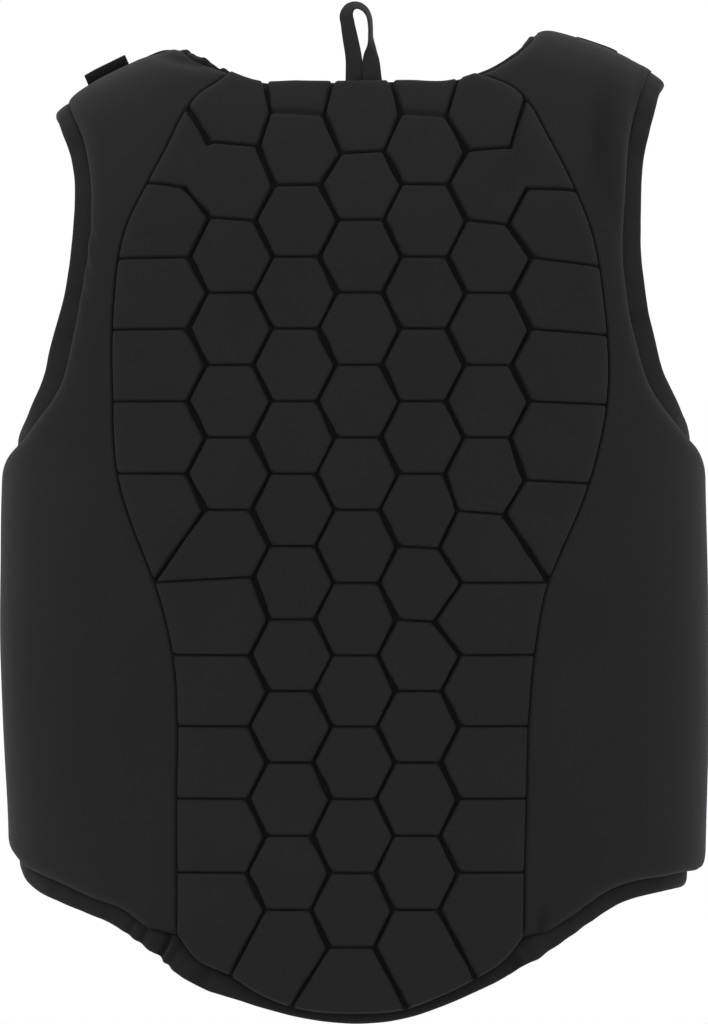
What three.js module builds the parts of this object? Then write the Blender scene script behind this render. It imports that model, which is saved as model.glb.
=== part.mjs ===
import * as THREE from "three";

// Driving sizes in millimetres
const chestHalfWidth = 200;
const backLength = 600;
const shoulderRun = backLength * 0.15;
const shoulderStart = (backLength * 13) / 60;
const squareBack = 2.5;
const squareFront = 2.3;
const panelThickness = 13;
const panelInner = 1.2;
const panelRim = 8;
const seamRim = 11;
const panelEdge = 0.05;
const padGroove = 11;
const padRise = 4.6;
const padDome = 0.8;
const padInner = 1.6;
const cellRim = 4;
const columnPitch = chestHalfWidth * 0.188;
const zigzag = chestHalfWidth * 0.0265;
const topZigzag = chestHalfWidth * 0.008;
const halfRow = backLength * 0.035117;
const halfRowGrowth = backLength * 0.000055;
const rowAtShoulderStart = 5;
const columnLean = chestHalfWidth * 0.00135;
const columnCentre = chestHalfWidth * 0.025;
const cornerCellLevel = backLength * -0.045;
const mergedCellLevel = backLength * -0.095;
const lastRow = 24;
const liningOuter = -0.4;
const liningInner = -2;
const gap = 0.5;
const bindingWidth = 13;
const bindingTop = 3.6;
const neckBindingWidth = 3.2;
const neckBindingTop = 8.5;
const bindingBottom = -2.6;
const bandRound = 1.4;
const bandFlat = 0.55;
const bandBevel = 0.4;
const zipHalfWidth = 9;
const zipInner = 1;
const zipOuter = 5;
const zipEdge = 3;
const loopHeight = 48.6;
const loopThickness = 2.4;
const loopCentre = chestHalfWidth * 0.03;
const loopSeat = 2;
const loopRaise = 5.2;
const loopSpans = 22;
const loopHoleSpans = 14;
const tabWidth = 25;
const tabThickness = 2.6;
const tabLength = 66;
const tabLift = 18;
const tabMiddle = chestHalfWidth * 0.722;
const tabSetback = 14;
const tabSpans = 8;
const panelSpans = 7;
const strapSpans = 4;
const strapEdge = 0.1;
const neckSpans = 4;
const besideSpans = 10;
const underarmSpans = 6;
const underarmRow = 6.5;
const backSeamSpans = 11;
const seamSpans = 7;
const frontArmSpans = 14;
const frontNeckSpans = 6;

// Torso sections, lengths as shares of the half width, heights as shares of the back length
const sections = [
  { drop: -0.15, halfWidth: 0.98, back: 0.48, front: 0.44 },
  { drop: 0.1, halfWidth: 0.99, back: 0.515, front: 0.46 },
  { drop: 0.317, halfWidth: 1.01, back: 0.54, front: 0.5 },
  { drop: 0.5, halfWidth: 1.0265, back: 0.515, front: 0.52 },
  { drop: 0.667, halfWidth: 1.028, back: 0.48, front: 0.505 },
  { drop: 0.833, halfWidth: 1.0125, back: 0.505, front: 0.52 },
  { drop: 1, halfWidth: 1, back: 0.565, front: 0.55 },
];

// Top of the shoulders, shares of the half width
const shoulderLine = [
  { across: -1.075, rise: -0.33 },
  { across: -0.91, rise: -0.225 },
  { across: -0.725, rise: -0.12 },
  { across: -0.54, rise: -0.025 },
  { across: -0.25, rise: 0.02 },
  { across: 0, rise: 0.03 },
  { across: 0.25, rise: 0.035 },
  { across: 0.56, rise: 0.0235 },
  { across: 0.75, rise: -0.04 },
  { across: 0.925, rise: -0.125 },
  { across: 1.075, rise: -0.21 },
];

// Outline of the spine pad, across in shares of the half width
const padOutline = [
  { drop: 0.045, left: -0.49, right: 0.507 },
  { drop: 0.096, left: -0.552, right: 0.578 },
  { drop: 0.1835, left: -0.665, right: 0.686 },
  { drop: 0.26, left: -0.697, right: 0.724 },
  { drop: 0.3565, left: -0.7, right: 0.734 },
  { drop: 0.426, left: -0.69, right: 0.694 },
  { drop: 0.471, left: -0.657, right: 0.65 },
  { drop: 0.54, left: -0.58, right: 0.565 },
  { drop: 0.605, left: -0.533, right: 0.53 },
  { drop: 0.757, left: -0.519, right: 0.504 },
  { drop: 0.892, left: -0.516, right: 0.493 },
];

// Rounded upper corners of the spine pad, from the neck edge outwards
const padShoulder = [
  { left: -0.365, leftDrop: -0.004, right: 0.362, rightDrop: 0.0105 },
  { left: -0.41, leftDrop: 0.0135, right: 0.418, rightDrop: 0.019 },
  { left: -0.455, leftDrop: 0.0265, right: 0.468, rightDrop: 0.029 },
];

// Lower edge of the spine pad, from the left corner to the right one
const padBottom = [
  { across: -0.516, drop: 0.892 },
  { across: -0.458, drop: 0.9165 },
  { across: -0.362, drop: 0.932 },
  { across: -0.285, drop: 0.9485 },
  { across: -0.185, drop: 0.962 },
  { across: 0, drop: 0.9685 },
  { across: 0.156, drop: 0.964 },
  { across: 0.26, drop: 0.951 },
  { across: 0.356, drop: 0.935 },
  { across: 0.44, drop: 0.9165 },
  { across: 0.493, drop: 0.895 },
];

// Back neck edge from the left neck point to the right one
const backNeck = [
  { across: -0.533, drop: -0.15 },
  { across: -0.51, drop: -0.1 },
  { across: -0.472, drop: -0.055 },
  { across: -0.388, drop: -0.013 },
  { across: -0.306, drop: 0.011 },
  { across: -0.16, drop: 0.0185 },
  { across: 0, drop: 0.02 },
  { across: 0.16, drop: 0.0205 },
  { across: 0.28, drop: 0.021 },
  { across: 0.344, drop: 0.013 },
  { across: 0.417, drop: -0.003 },
  { across: 0.49, drop: -0.035 },
  { across: 0.533, drop: -0.078 },
  { across: 0.555, drop: -0.15 },
];

// Outer edge of the hanging loop, shares of its height
const loopOutline = [
  { across: -0.24, rise: 0 },
  { across: -0.225, rise: 0.28 },
  { across: -0.295, rise: 0.55 },
  { across: -0.315, rise: 0.8 },
  { across: -0.22, rise: 0.95 },
  { across: -0.06, rise: 1 },
  { across: 0.07, rise: 0.93 },
  { across: 0.14, rise: 0.75 },
  { across: 0.155, rise: 0.53 },
  { across: 0.2, rise: 0.28 },
  { across: 0.24, rise: 0 },
];

// Gap inside the hanging loop, shares of its height
const loopHole = [
  { across: -0.015, rise: 0.24 },
  { across: 0.04, rise: 0.38 },
  { across: 0.06, rise: 0.58 },
  { across: 0.02, rise: 0.79 },
  { across: -0.06, rise: 0.88 },
  { across: -0.135, rise: 0.78 },
  { across: -0.13, rise: 0.58 },
  { across: -0.075, rise: 0.38 },
];

// Front neck edge from a neck point to the closure
const frontNeck = [
  { across: 0.545, drop: -0.15 },
  { across: 0.515, drop: -0.06 },
  { across: 0.455, drop: 0.005 },
  { across: 0.36, drop: 0.06 },
  { across: 0.22, drop: 0.1 },
  { across: 0.045, drop: 0.115 },
];

// Armhole from the shoulder down the back to the side seam, turns in shares of a quarter turn
const backArmhole = [
  { drop: -0.15, left: -0.614, right: 0.655 },
  { drop: -0.06, left: -0.595, right: 0.612 },
  { drop: 0.05, left: -0.544, right: 0.562 },
  { drop: 0.13, left: -0.521, right: 0.535 },
  { drop: 0.203, left: -0.524, right: 0.518 },
  { drop: 0.2465, left: -0.536, right: 0.524 },
  { drop: 0.2865, left: -0.552, right: 0.54 },
  { drop: 0.344, left: -0.595, right: 0.596 },
  { drop: 0.383, left: -0.698, right: 0.715 },
  { drop: 0.399, left: -0.78, right: 0.82 },
  { drop: 0.4125, left: -0.94, right: 0.96 },
  { drop: 0.4165, left: -1.114, right: 1.114 },
];

// Armhole from the side seam up the front to the shoulder
const frontArmhole = [
  { drop: 0.4165, left: -1.114, right: 1.114 },
  { drop: 0.405, left: -1.21, right: 1.21 },
  { drop: 0.375, left: -1.3, right: 1.3 },
  { drop: 0.32, left: -1.385, right: 1.385 },
  { drop: 0.25, left: -1.44, right: 1.44 },
  { drop: 0.16, left: -1.465, right: 1.465 },
  { drop: 0.05, left: -1.45, right: 1.44 },
  { drop: -0.06, left: -1.4, right: 1.37 },
  { drop: -0.15, left: -1.363, right: 1.32 },
];

// Lower edge beside the pad, turns in shares of a quarter turn
const leftHem = [
  { turn: -1.114, drop: 0.818 },
  { turn: -0.819, drop: 0.825 },
  { turn: -0.74, drop: 0.833 },
  { turn: -0.595, drop: 0.845 },
  { turn: -0.5, drop: 0.8585 },
  { turn: -0.434, drop: 0.869 },
  { turn: -0.385, drop: 0.886 },
];
const rightHem = [
  { turn: 1.114, drop: 0.823 },
  { turn: 0.88, drop: 0.83 },
  { turn: 0.663, drop: 0.8353 },
  { turn: 0.477, drop: 0.8527 },
  { turn: 0.4, drop: 0.877 },
  { turn: 0.365, drop: 0.888 },
];
const frontHem = [
  { turn: 1.114, drop: 0.817 },
  { turn: 1.5, drop: 0.83 },
  { turn: 2, drop: 0.845 },
];

// Width of the hem strip, shares of the binding width
const hemWidth = [
  { across: -1.1, width: 0.78 },
  { across: -0.77, width: 0.78 },
  { across: -0.68, width: 0.7 },
  { across: -0.62, width: 0.6 },
  { across: -0.57, width: 0.85 },
  { across: -0.51, width: 1.2 },
  { across: -0.45, width: 1.1 },
  { across: -0.36, width: 0.84 },
  { across: -0.25, width: 0.5 },
  { across: 0, width: 0.45 },
  { across: 0.3, width: 0.45 },
  { across: 0.42, width: 0.75 },
  { across: 0.47, width: 1 },
  { across: 0.53, width: 1.1 },
  { across: 0.58, width: 0.7 },
  { across: 0.7, width: 0.68 },
  { across: 0.85, width: 0.62 },
  { across: 1, width: 0.78 },
];

// Width of the armhole strips down the back, shares of the binding width
const armWidth = [
  { drop: -0.15, width: 1 },
  { drop: 0.05, width: 1.1 },
  { drop: 0.16, width: 1.3 },
  { drop: 0.32, width: 1.35 },
  { drop: 0.38, width: 1.15 },
  { drop: 0.4165, width: 1 },
];

const quarter = Math.PI / 2;

// Small steps for slopes, and the limits that keep them finite
const turnStep = 1e-4;
const levelStep = 0.05;
const widestShare = 0.99999;
const leastMitre = 0.5;
const mergeSlack = 1e-6;

// Smooth curve through the rows of a table
function smooth(rows, from, to, value) {
  const last = rows.length - 1;
  const sign = rows[last][from] > rows[0][from] ? 1 : -1;
  let k = 0;
  while (k < last - 1 && (value - rows[k + 1][from]) * sign > 0) k += 1;
  const slope = (i) => (rows[i + 1][to] - rows[i][to]) / (rows[i + 1][from] - rows[i][from]);
  const tangent = (i) => {
    if (i === 0) return slope(0);
    if (i === last) return slope(last - 1);
    const before = Math.abs(rows[i][from] - rows[i - 1][from]);
    const after = Math.abs(rows[i + 1][from] - rows[i][from]);
    return (slope(i - 1) * after + slope(i) * before) / (before + after);
  };
  const step = rows[k + 1][from] - rows[k][from];
  const t = Math.min(1, Math.max(0, (value - rows[k][from]) / step));
  const t2 = t * t;
  const t3 = t2 * t;
  const ends = (2 * t3 - 3 * t2 + 1) * rows[k][to] + (3 * t2 - 2 * t3) * rows[k + 1][to];
  return ends + step * ((t3 - 2 * t2 + t) * tangent(k) + (t3 - t2) * tangent(k + 1));
}

// Point of the torso, turn measured from the spine, level measured up from the origin
function torso(turn, level) {
  const drop = -level / backLength;
  const halfWidth = smooth(sections, "drop", "halfWidth", drop) * chestHalfWidth;
  const isBack = Math.cos(turn) > 0;
  const depth = smooth(sections, "drop", isBack ? "back" : "front", drop) * chestHalfWidth;
  const power = isBack ? squareBack : squareFront;
  const sine = Math.sin(turn);
  const cosine = Math.abs(Math.cos(turn));
  const q = (Math.abs(sine) ** power + cosine ** power) ** (1 / power);
  const x = (halfWidth * sine) / q;
  const y = ((isBack ? -depth : depth) * cosine) / q;
  const share = Math.max(0, (level + shoulderStart) / (shoulderRun + shoulderStart));
  const bend = Math.min(1, share) * quarter;
  const crown = smooth(shoulderLine, "across", "rise", x / chestHalfWidth) * chestHalfWidth;
  const z = share > 0 ? -shoulderStart + (crown + shoulderStart) * Math.sin(bend) : level;
  return new THREE.Vector3(x, y * Math.cos(bend), z);
}

function outward(turn, level) {
  const below = Math.min(level, shoulderRun - 2 * levelStep);
  const alongTurn = torso(turn + turnStep, level).sub(torso(turn - turnStep, level));
  const alongLevel = torso(turn, below + levelStep).sub(torso(turn, below - levelStep));
  return alongTurn.cross(alongLevel).normalize();
}

// Millimetres for each radian of turn at a spot
function stretchAt(spot) {
  const next = torso(spot.turn + turnStep, spot.level);
  return next.distanceTo(torso(spot.turn, spot.level)) / turnStep;
}

function place(spot, offset) {
  return torso(spot.turn, spot.level).addScaledVector(outward(spot.turn, spot.level), offset);
}

// Turn of the back or front at a distance from the middle plane
function turnAt(x, level, isBack = true) {
  const halfWidth = smooth(sections, "drop", "halfWidth", -level / backLength) * chestHalfWidth;
  const power = isBack ? squareBack : squareFront;
  const share = Math.min(widestShare, Math.abs(x) / halfWidth) ** power;
  const angle = Math.atan((share / (1 - share)) ** (1 / power));
  return Math.sign(x) * (isBack ? angle : Math.PI - angle);
}

function spotAt(x, level, isBack = true) {
  return { turn: turnAt(x, level, isBack), level };
}

// Points spread along a table, evenly between two of its rows
function stretchOf(rows, first, last, count, toSpot) {
  const numbered = rows.map((row, index) => ({ ...row, index }));
  const names = Object.keys(rows[0]);
  const pick = (index) => {
    const row = {};
    for (const name of names) row[name] = smooth(numbered, "index", name, index);
    return toSpot(row);
  };
  return Array.from({ length: count + 1 }, (_, i) => pick(first + ((last - first) * i) / count));
}

function spread(rows, count, toSpot) {
  return stretchOf(rows, 0, rows.length - 1, count, toSpot);
}

// Skin made of triangles between spots, closed into a wall between two offsets
class Wall {
  constructor() {
    this.spots = [];
    this.index = new Map();
    this.triangles = [];
  }

  // A spot counts as known when one of its four rounded places is
  add(spot) {
    const slack = [-mergeSlack, mergeSlack];
    const turns = slack.map((step) => (spot.turn + step).toFixed(5));
    const levels = slack.map((step) => (spot.level + step).toFixed(3));
    const keys = turns.flatMap((turn) => levels.map((level) => `${turn} ${level}`));
    const known = keys.find((key) => this.index.has(key));
    if (known) return this.index.get(known);
    for (const key of keys) this.index.set(key, this.spots.length);
    this.spots.push(spot);
    return this.spots.length - 1;
  }

  face(a, b, c) {
    const [i, j, k] = [this.add(a), this.add(b), this.add(c)];
    if (i === j || j === k || k === i) return;
    const first = (b.turn - a.turn) * (c.level - a.level);
    const second = (c.turn - a.turn) * (b.level - a.level);
    this.triangles.push(first > second ? [i, j, k] : [i, k, j]);
  }

  // Grid of spots in rows, all of the same length
  grid(rows) {
    for (let r = 0; r + 1 < rows.length; r += 1) {
      for (let c = 0; c + 1 < rows[r].length; c += 1) {
        const [a, b] = [rows[r][c], rows[r][c + 1]];
        const [d, e] = [rows[r + 1][c], rows[r + 1][c + 1]];
        this.face(a, b, e);
        this.face(a, e, d);
      }
    }
  }

  geometry() {
    const outer = this.spots.map((spot) => place(spot, spot.outer));
    const inner = this.spots.map((spot) => place(spot, spot.inner));
    const count = outer.length;
    const faces = [];
    const edges = new Map();
    for (const [a, b, c] of this.triangles) {
      faces.push([a, b, c], [count + a, count + c, count + b]);
      for (const [from, to] of [[a, b], [b, c], [c, a]]) edges.set(`${from} ${to}`, [from, to]);
    }
    for (const [from, to] of edges.values()) {
      if (edges.has(`${to} ${from}`)) continue;
      faces.push([from, count + from, count + to], [from, count + to, to]);
    }
    return solid([...outer, ...inner], faces);
  }
}

function solid(points, faces) {
  const geometry = new THREE.BufferGeometry();
  const coordinates = points.flatMap((point) => [point.x, point.y, point.z]);
  geometry.setAttribute("position", new THREE.Float32BufferAttribute(coordinates, 3));
  geometry.setIndex(faces.flat());
  geometry.computeVertexNormals();
  return geometry;
}

// Coons patch between four edges, with heights that fall towards the edges
function patch(top, bottom, left, right, heights) {
  const rowCount = left.length - 1;
  const columnCount = top.length - 1;
  const shares = acrossShares(columnCount);
  const blend = (name, s, t, i, j) => {
    const sides = (1 - s) * left[i][name] + s * right[i][name];
    const ends = (1 - t) * top[j][name] + t * bottom[j][name];
    const upper = (1 - s) * top[0][name] + s * top[columnCount][name];
    const lower = (1 - s) * bottom[0][name] + s * bottom[columnCount][name];
    return sides + ends - (1 - t) * upper - t * lower;
  };
  return left.map((_, i) =>
    top.map((__, j) => {
      const s = shares[j];
      const t = i / rowCount;
      return {
        turn: blend("turn", s, t, i, j),
        level: blend("level", s, t, i, j),
        outer: heights.outer(i, j, rowCount, columnCount),
        inner: heights.inner,
      };
    })
  );
}

// Shares across a panel, with a narrow strip at each edge
function acrossShares(count) {
  const edge = count === strapSpans ? strapEdge : panelEdge;
  const step = (1 - 2 * edge) / (count - 2);
  const inside = Array.from({ length: count - 1 }, (_, i) => edge + step * i);
  return [0, ...inside, 1];
}

// Lower edge of a panel, sampled evenly in turn
function hemLine(rows, spans) {
  const from = rows[0].turn;
  const to = rows[rows.length - 1].turn;
  return acrossShares(spans).map((share) => {
    const turn = from + (to - from) * share;
    return { turn: turn * quarter, level: -smooth(rows, "turn", "drop", turn) * backLength };
  });
}

const flatHeights = () => ({ outer: () => liningOuter, inner: liningInner });

// Padded panel: low at free edges and seams, full a short way in
function paddedHeights(region) {
  const outer = (i, j, rows, columns) => {
    const isSide = j === 0 || j === columns;
    if (region === "shoulder" && i === 0) return seamRim;
    if (region === "shoulder") return isSide ? panelRim : panelThickness;
    if (region === "beside" && j === columns) return seamRim;
    if (region === "beside") return j === 0 ? panelRim : panelThickness;
    if (i === rows) return panelRim;
    if (region === "body" && isSide) return seamRim;
    if (region === "body") return i === 0 && j <= underarmSpans ? panelRim : panelThickness;
    if (j === 0) return i >= rows - seamSpans ? seamRim : panelRim;
    if (j === columns) return panelRim;
    return i === 0 ? seamRim : panelThickness;
  };
  return { inner: panelInner, outer };
}

// Strip of one section carried along spots, section axes: away from the edge and out of the surface
function carried(path, isClosed, sectionAt, awaySign) {
  const points = path.map((spot) => torso(spot.turn, spot.level));
  const count = points.length;
  const rings = points.map((point, i) => {
    const before = points[isClosed ? (i + count - 1) % count : Math.max(0, i - 1)];
    const after = points[isClosed ? (i + 1) % count : Math.min(count - 1, i + 1)];
    const out = outward(path[i].turn, path[i].level);
    const along = after.clone().sub(before).normalize();
    const away = out.clone().cross(along).normalize().multiplyScalar(awaySign);
    const lift = ([a, b]) => point.clone().addScaledVector(away, a).addScaledVector(out, b);
    return sectionAt(path[i], point).map(lift);
  });
  return ringed(rings, isClosed);
}

function ringed(rings, isClosed) {
  const size = rings[0].length;
  const count = rings.length;
  const faces = [];
  for (let r = 0; r < (isClosed ? count : count - 1); r += 1) {
    for (let s = 0; s < size; s += 1) {
      const a = r * size + s;
      const b = r * size + ((s + 1) % size);
      const c = ((r + 1) % count) * size + s;
      const d = ((r + 1) % count) * size + ((s + 1) % size);
      faces.push([a, b, d], [a, d, c]);
    }
  }
  if (!isClosed) {
    for (let s = 1; s + 1 < size; s += 1) {
      const end = (count - 1) * size;
      faces.push([0, s + 1, s], [end, end + s, end + s + 1]);
    }
  }
  return facingOut(solid(rings.flat(), faces));
}

// Turns every face round where the body would be inside out
function facingOut(geometry) {
  const position = geometry.getAttribute("position");
  const index = Array.from(geometry.getIndex().array);
  const [a, b, c] = [new THREE.Vector3(), new THREE.Vector3(), new THREE.Vector3()];
  let volume = 0;
  for (let i = 0; i < index.length; i += 3) {
    a.fromBufferAttribute(position, index[i]);
    b.fromBufferAttribute(position, index[i + 1]);
    c.fromBufferAttribute(position, index[i + 2]);
    volume += a.dot(b.cross(c));
  }
  if (volume < 0) {
    for (let i = 0; i < index.length; i += 3) [index[i + 1], index[i + 2]] = [index[i + 2], index[i + 1]];
    geometry.setIndex(index);
  }
  return geometry;
}

// Rounded band section between two offsets
function bandSection(width, bottom, top) {
  const round = Math.min(bandRound, width / 4);
  return [
    [gap, bottom + bandBevel],
    [gap, top],
    [width * bandFlat, top],
    [width - round, top - round],
    [width, (top + bottom) / 2],
    [width - round, bottom],
    [gap + bandBevel, bottom],
  ];
}

// Level of a row of cells, counted in half rows
function rowLevel(row) {
  const n = row - rowAtShoulderStart;
  return -shoulderStart - halfRow * n - halfRowGrowth * n * n;
}

const neckSpot = (row) => spotAt(row.across * chestHalfWidth, -row.drop * backLength);
const neckLevelAt = (x) => -smooth(backNeck, "across", "drop", x / chestHalfWidth) * backLength;
const outlineX = (level, side) => smooth(padOutline, "drop", side, -level / backLength) * chestHalfWidth;
const sideName = (sign) => (sign < 0 ? "left" : "right");
const outlineSpot = (level, sign) => spotAt(outlineX(level, sideName(sign)), level);
const bottomSpot = (index) => neckSpot(padBottom[index]);
const shoulderSpot = (index, sign) => {
  const row = padShoulder[index];
  const x = row[sideName(sign)] * chestHalfWidth;
  return spotAt(x, index === 0 ? neckLevelAt(x) : -row[`${sideName(sign)}Drop`] * backLength);
};

// Corner of the cell pattern, line counted in columns from the spine
function corner(line, row) {
  const sign = Math.sign(line);
  const column = line - 0.5;
  const side = Math.abs(column + row) % 2 === 0 ? -1 : 1;
  const reach = row === 0 ? topZigzag : zigzag;
  const x = columnCentre - columnLean * row + line * columnPitch + side * reach;
  if (Math.abs(line) < 2 && row === 0) return spotAt(x, neckLevelAt(x));
  if (Math.abs(line) === 2.5 && row === 0) return shoulderSpot(0, sign);
  if (Math.abs(line) === 2.5 && row === 1) return outlineSpot(cornerCellLevel, sign);
  if (Math.abs(line) === 2.5 && row >= 13) return outlineSpot(rowLevel(row), sign);
  if (Math.abs(line) === 3.5) return outlineSpot(rowLevel(row), sign);
  return spotAt(x, rowLevel(row));
}

// Lines of corners down the left and right of a cell, and its lower corners
function cellBetween(lineLeft, lineRight, rowsLeft, rowsRight, between = []) {
  const down = rowsLeft.map((row) => corner(lineLeft, row));
  const up = [...rowsRight].reverse().map((row) => corner(lineRight, row));
  return { corners: [...down, ...between, ...up] };
}

function padCells() {
  const cells = [];
  const three = (row) => [row, row + 1, row + 2];
  for (let row = 0; row < lastRow; row += 2) cells.push(cellBetween(-0.5, 0.5, three(row), three(row)));
  const tip = [bottomSpot(4), bottomSpot(5), bottomSpot(6)];
  cells.push(cellBetween(-0.5, 0.5, [lastRow], [lastRow], tip));
  for (const sign of [-1, 1]) {
    const near = 0.5 * sign;
    const middle = 1.5 * sign;
    const far = 2.5 * sign;
    const rim = 3.5 * sign;
    const pair = (inner, outer, rows, rowsOut = rows, between = []) =>
      sign < 0
        ? cellBetween(outer, inner, rowsOut, rows, between)
        : cellBetween(inner, outer, rows, rowsOut, [...between].reverse());
    const knots = (...list) => list.map((k) => bottomSpot(sign < 0 ? k : 10 - k));
    cells.push(pair(near, middle, [0, 1]));
    for (let row = 1; row < 23; row += 2) cells.push(pair(near, middle, three(row)));
    cells.push(pair(near, middle, [23, 24], [23], knots(2, 3, 4)));
    const upper = cellBetween(middle, far, [0, 1, 2], [1, 2]).corners;
    const rounded = [2, 1, 0].map((index) => shoulderSpot(index, sign));
    cells.push({ corners: sign < 0 ? [...upper, ...rounded].reverse() : [...upper, ...rounded] });
    const notch = corner(far, 3);
    const merged = [
      corner(far, 1),
      outlineSpot(mergedCellLevel, sign),
      corner(rim, 3),
      notch,
      corner(far, 4),
      corner(middle, 4),
      corner(middle, 3),
      corner(middle, 2),
      corner(far, 2),
    ];
    const centre = {
      turn: (corner(far, 2).turn + notch.turn) / 2,
      level: (corner(far, 2).level + notch.level) / 2,
    };
    cells.push({ corners: sign < 0 ? merged : merged.reverse(), centre });
    for (let row = 4; row < 12; row += 2) cells.push(pair(middle, far, three(row)));
    cells.push(pair(middle, far, [12, 13, 14], [12, 14]));
    for (let row = 14; row < 22; row += 2) cells.push(pair(middle, far, three(row), [row, row + 2]));
    cells.push(pair(middle, far, [22, 23], [22], knots(0, 1, 2)));
    for (let row = 3; row < 11; row += 2) cells.push(pair(far, rim, three(row)));
    cells.push(pair(far, rim, [11, 12], [11, 12, 13, 14]));
  }
  return cells;
}

// Side edge of the pad, from the neck to its lower corner
function padSide(sign) {
  const rim = 3.5 * sign;
  const shoulder = [0, 1, 2].map((index) => shoulderSpot(index, sign));
  const upper = [...shoulder, corner(2.5 * sign, 1), outlineSpot(mergedCellLevel, sign)];
  const middle = [3, 4, 5, 6, 7, 8, 9, 10, 11, 12, 13, 14].map((row) => corner(rim, row));
  const lower = [16, 18, 20, 22].map((row) => corner(rim, row));
  return [...upper, ...middle, ...lower, bottomSpot(sign < 0 ? 0 : 10)];
}

// Ring of spots a fixed distance inside a cell
function insetRing(corners, distance) {
  const flat = corners.map((spot) => ({ ...spot, stretch: stretchAt(spot) }));
  const count = flat.length;
  return flat.map((spot, i) => {
    const before = flat[(i + count - 1) % count];
    const after = flat[(i + 1) % count];
    const edge = (from, to) => {
      const run = new THREE.Vector2((to.turn - from.turn) * spot.stretch, to.level - from.level);
      return run.normalize();
    };
    const first = edge(before, spot);
    const second = edge(spot, after);
    const inward = new THREE.Vector2(-first.y - second.y, first.x + second.x).normalize();
    const reach = distance / Math.max(leastMitre, inward.dot(new THREE.Vector2(-first.y, first.x)));
    return { turn: spot.turn + (inward.x * reach) / spot.stretch, level: spot.level + inward.y * reach };
  });
}

function spinePad() {
  const wall = new Wall();
  for (const cell of padCells()) {
    const corners = cell.corners.map((spot) => ({ ...spot, outer: padGroove, inner: padInner }));
    const top = { outer: padGroove + padRise, inner: padInner };
    const ring = insetRing(corners, cellRim).map((spot) => ({ ...spot, ...top }));
    const mean = (name) => ring.reduce((sum, spot) => sum + spot[name], 0) / ring.length;
    const centre = { turn: mean("turn"), level: mean("level"), ...cell.centre, ...top };
    centre.outer += padDome;
    for (let i = 0; i < corners.length; i += 1) {
      const j = (i + 1) % corners.length;
      wall.face(corners[i], corners[j], ring[j]);
      wall.face(corners[i], ring[j], ring[i]);
      wall.face(ring[i], ring[j], centre);
    }
  }
  return wall.geometry();
}

// Edges of one side, sign below zero for the wearer's left
function sideEdges(sign) {
  const side = sideName(sign);
  const turned = (row) => ({ turn: row[side] * quarter, level: -row.drop * backLength });
  const neckRows = (sign < 0 ? backNeck : [...backNeck].reverse()).map((row, index) => ({ ...row, index }));
  const padTop = corner(2.5 * sign, 0);
  const padWay = smooth(neckRows, "across", "index", padShoulder[0][side]);
  const neck = Array.from({ length: neckSpans + 1 }, (_, i) => {
    const way = (padWay * i) / neckSpans;
    return neckSpot({
      across: smooth(neckRows, "index", "across", way),
      drop: smooth(neckRows, "index", "drop", way),
    });
  });
  neck[neckSpans] = padTop;
  const armLast = backArmhole.length - 1;
  const armBack = [
    ...stretchOf(backArmhole, 0, 1, neckSpans, turned),
    ...stretchOf(backArmhole, 1, underarmRow, besideSpans, turned).slice(1),
    ...stretchOf(backArmhole, underarmRow, armLast, underarmSpans, turned).slice(1),
  ];
  const armFront = spread(frontArmhole, frontArmSpans, turned);
  const padEnd = bottomSpot(sign < 0 ? 0 : 10);
  const hemRows = sign < 0 ? leftHem : rightHem;
  const padRow = { turn: padEnd.turn / quarter, drop: -padEnd.level / backLength };
  const hemBack = hemLine([...hemRows, padRow], underarmSpans + strapSpans);
  const seamTop = armBack[armBack.length - 1];
  const seamBottom = hemBack[0];
  const seamLine = (spans) =>
    Array.from({ length: spans + 1 }, (_, i) => ({
      turn: seamTop.turn,
      level: seamTop.level + ((seamBottom.level - seamTop.level) * i) / spans,
    }));
  const seam = seamLine(seamSpans);
  const backSeam = seamLine(backSeamSpans);
  const frontRows = frontHem.map((row) => ({ ...row, turn: row.turn * sign }));
  frontRows[0].drop = -seamBottom.level / backLength;
  const frontDrop = frontHem[2].drop;
  const closureTurn = turnAt(zipHalfWidth * sign, -frontDrop * backLength, false) / quarter;
  frontRows[2].turn = closureTurn;
  const hemFront = hemLine(frontRows, panelSpans);
  const frontNeckRows = [{ ...frontNeck[0], across: Math.abs(neckRows[0].across) }, ...frontNeck.slice(1)];
  const neckFront = spread(frontNeckRows, frontNeckSpans, (row) =>
    spotAt(row.across * chestHalfWidth * sign, -row.drop * backLength, false)
  );
  const topOfClosure = neckFront[frontNeckSpans].level;
  const closureSpans = frontArmSpans + seamSpans - frontNeckSpans;
  const closure = Array.from({ length: closureSpans + 1 }, (_, i) => {
    const level = topOfClosure + ((-frontDrop * backLength - topOfClosure) * i) / closureSpans;
    return spotAt(zipHalfWidth * sign, level, false);
  });
  const pad = padSide(sign);
  return { sign, neck, armBack, armFront, hemBack, hemFront, seam, backSeam, neckFront, closure, pad };
}

// A run of spots moved sideways over the surface, to the right of its direction for a distance above 0
function aside(path, distance) {
  return path.map((spot, i) => {
    const before = path[Math.max(0, i - 1)];
    const after = path[Math.min(path.length - 1, i + 1)];
    const stretch = stretchAt(spot);
    const run = new THREE.Vector2((after.turn - before.turn) * stretch, after.level - before.level);
    run.normalize();
    return {
      ...spot,
      turn: spot.turn + (run.y * distance) / stretch,
      level: spot.level - run.x * distance,
    };
  });
}

// Straight run across a panel between two spots
function between([from, to], spans) {
  return acrossShares(spans).map((s) => ({
    turn: from.turn + (to.turn - from.turn) * s,
    level: from.level + (to.level - from.level) * s,
  }));
}

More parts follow.
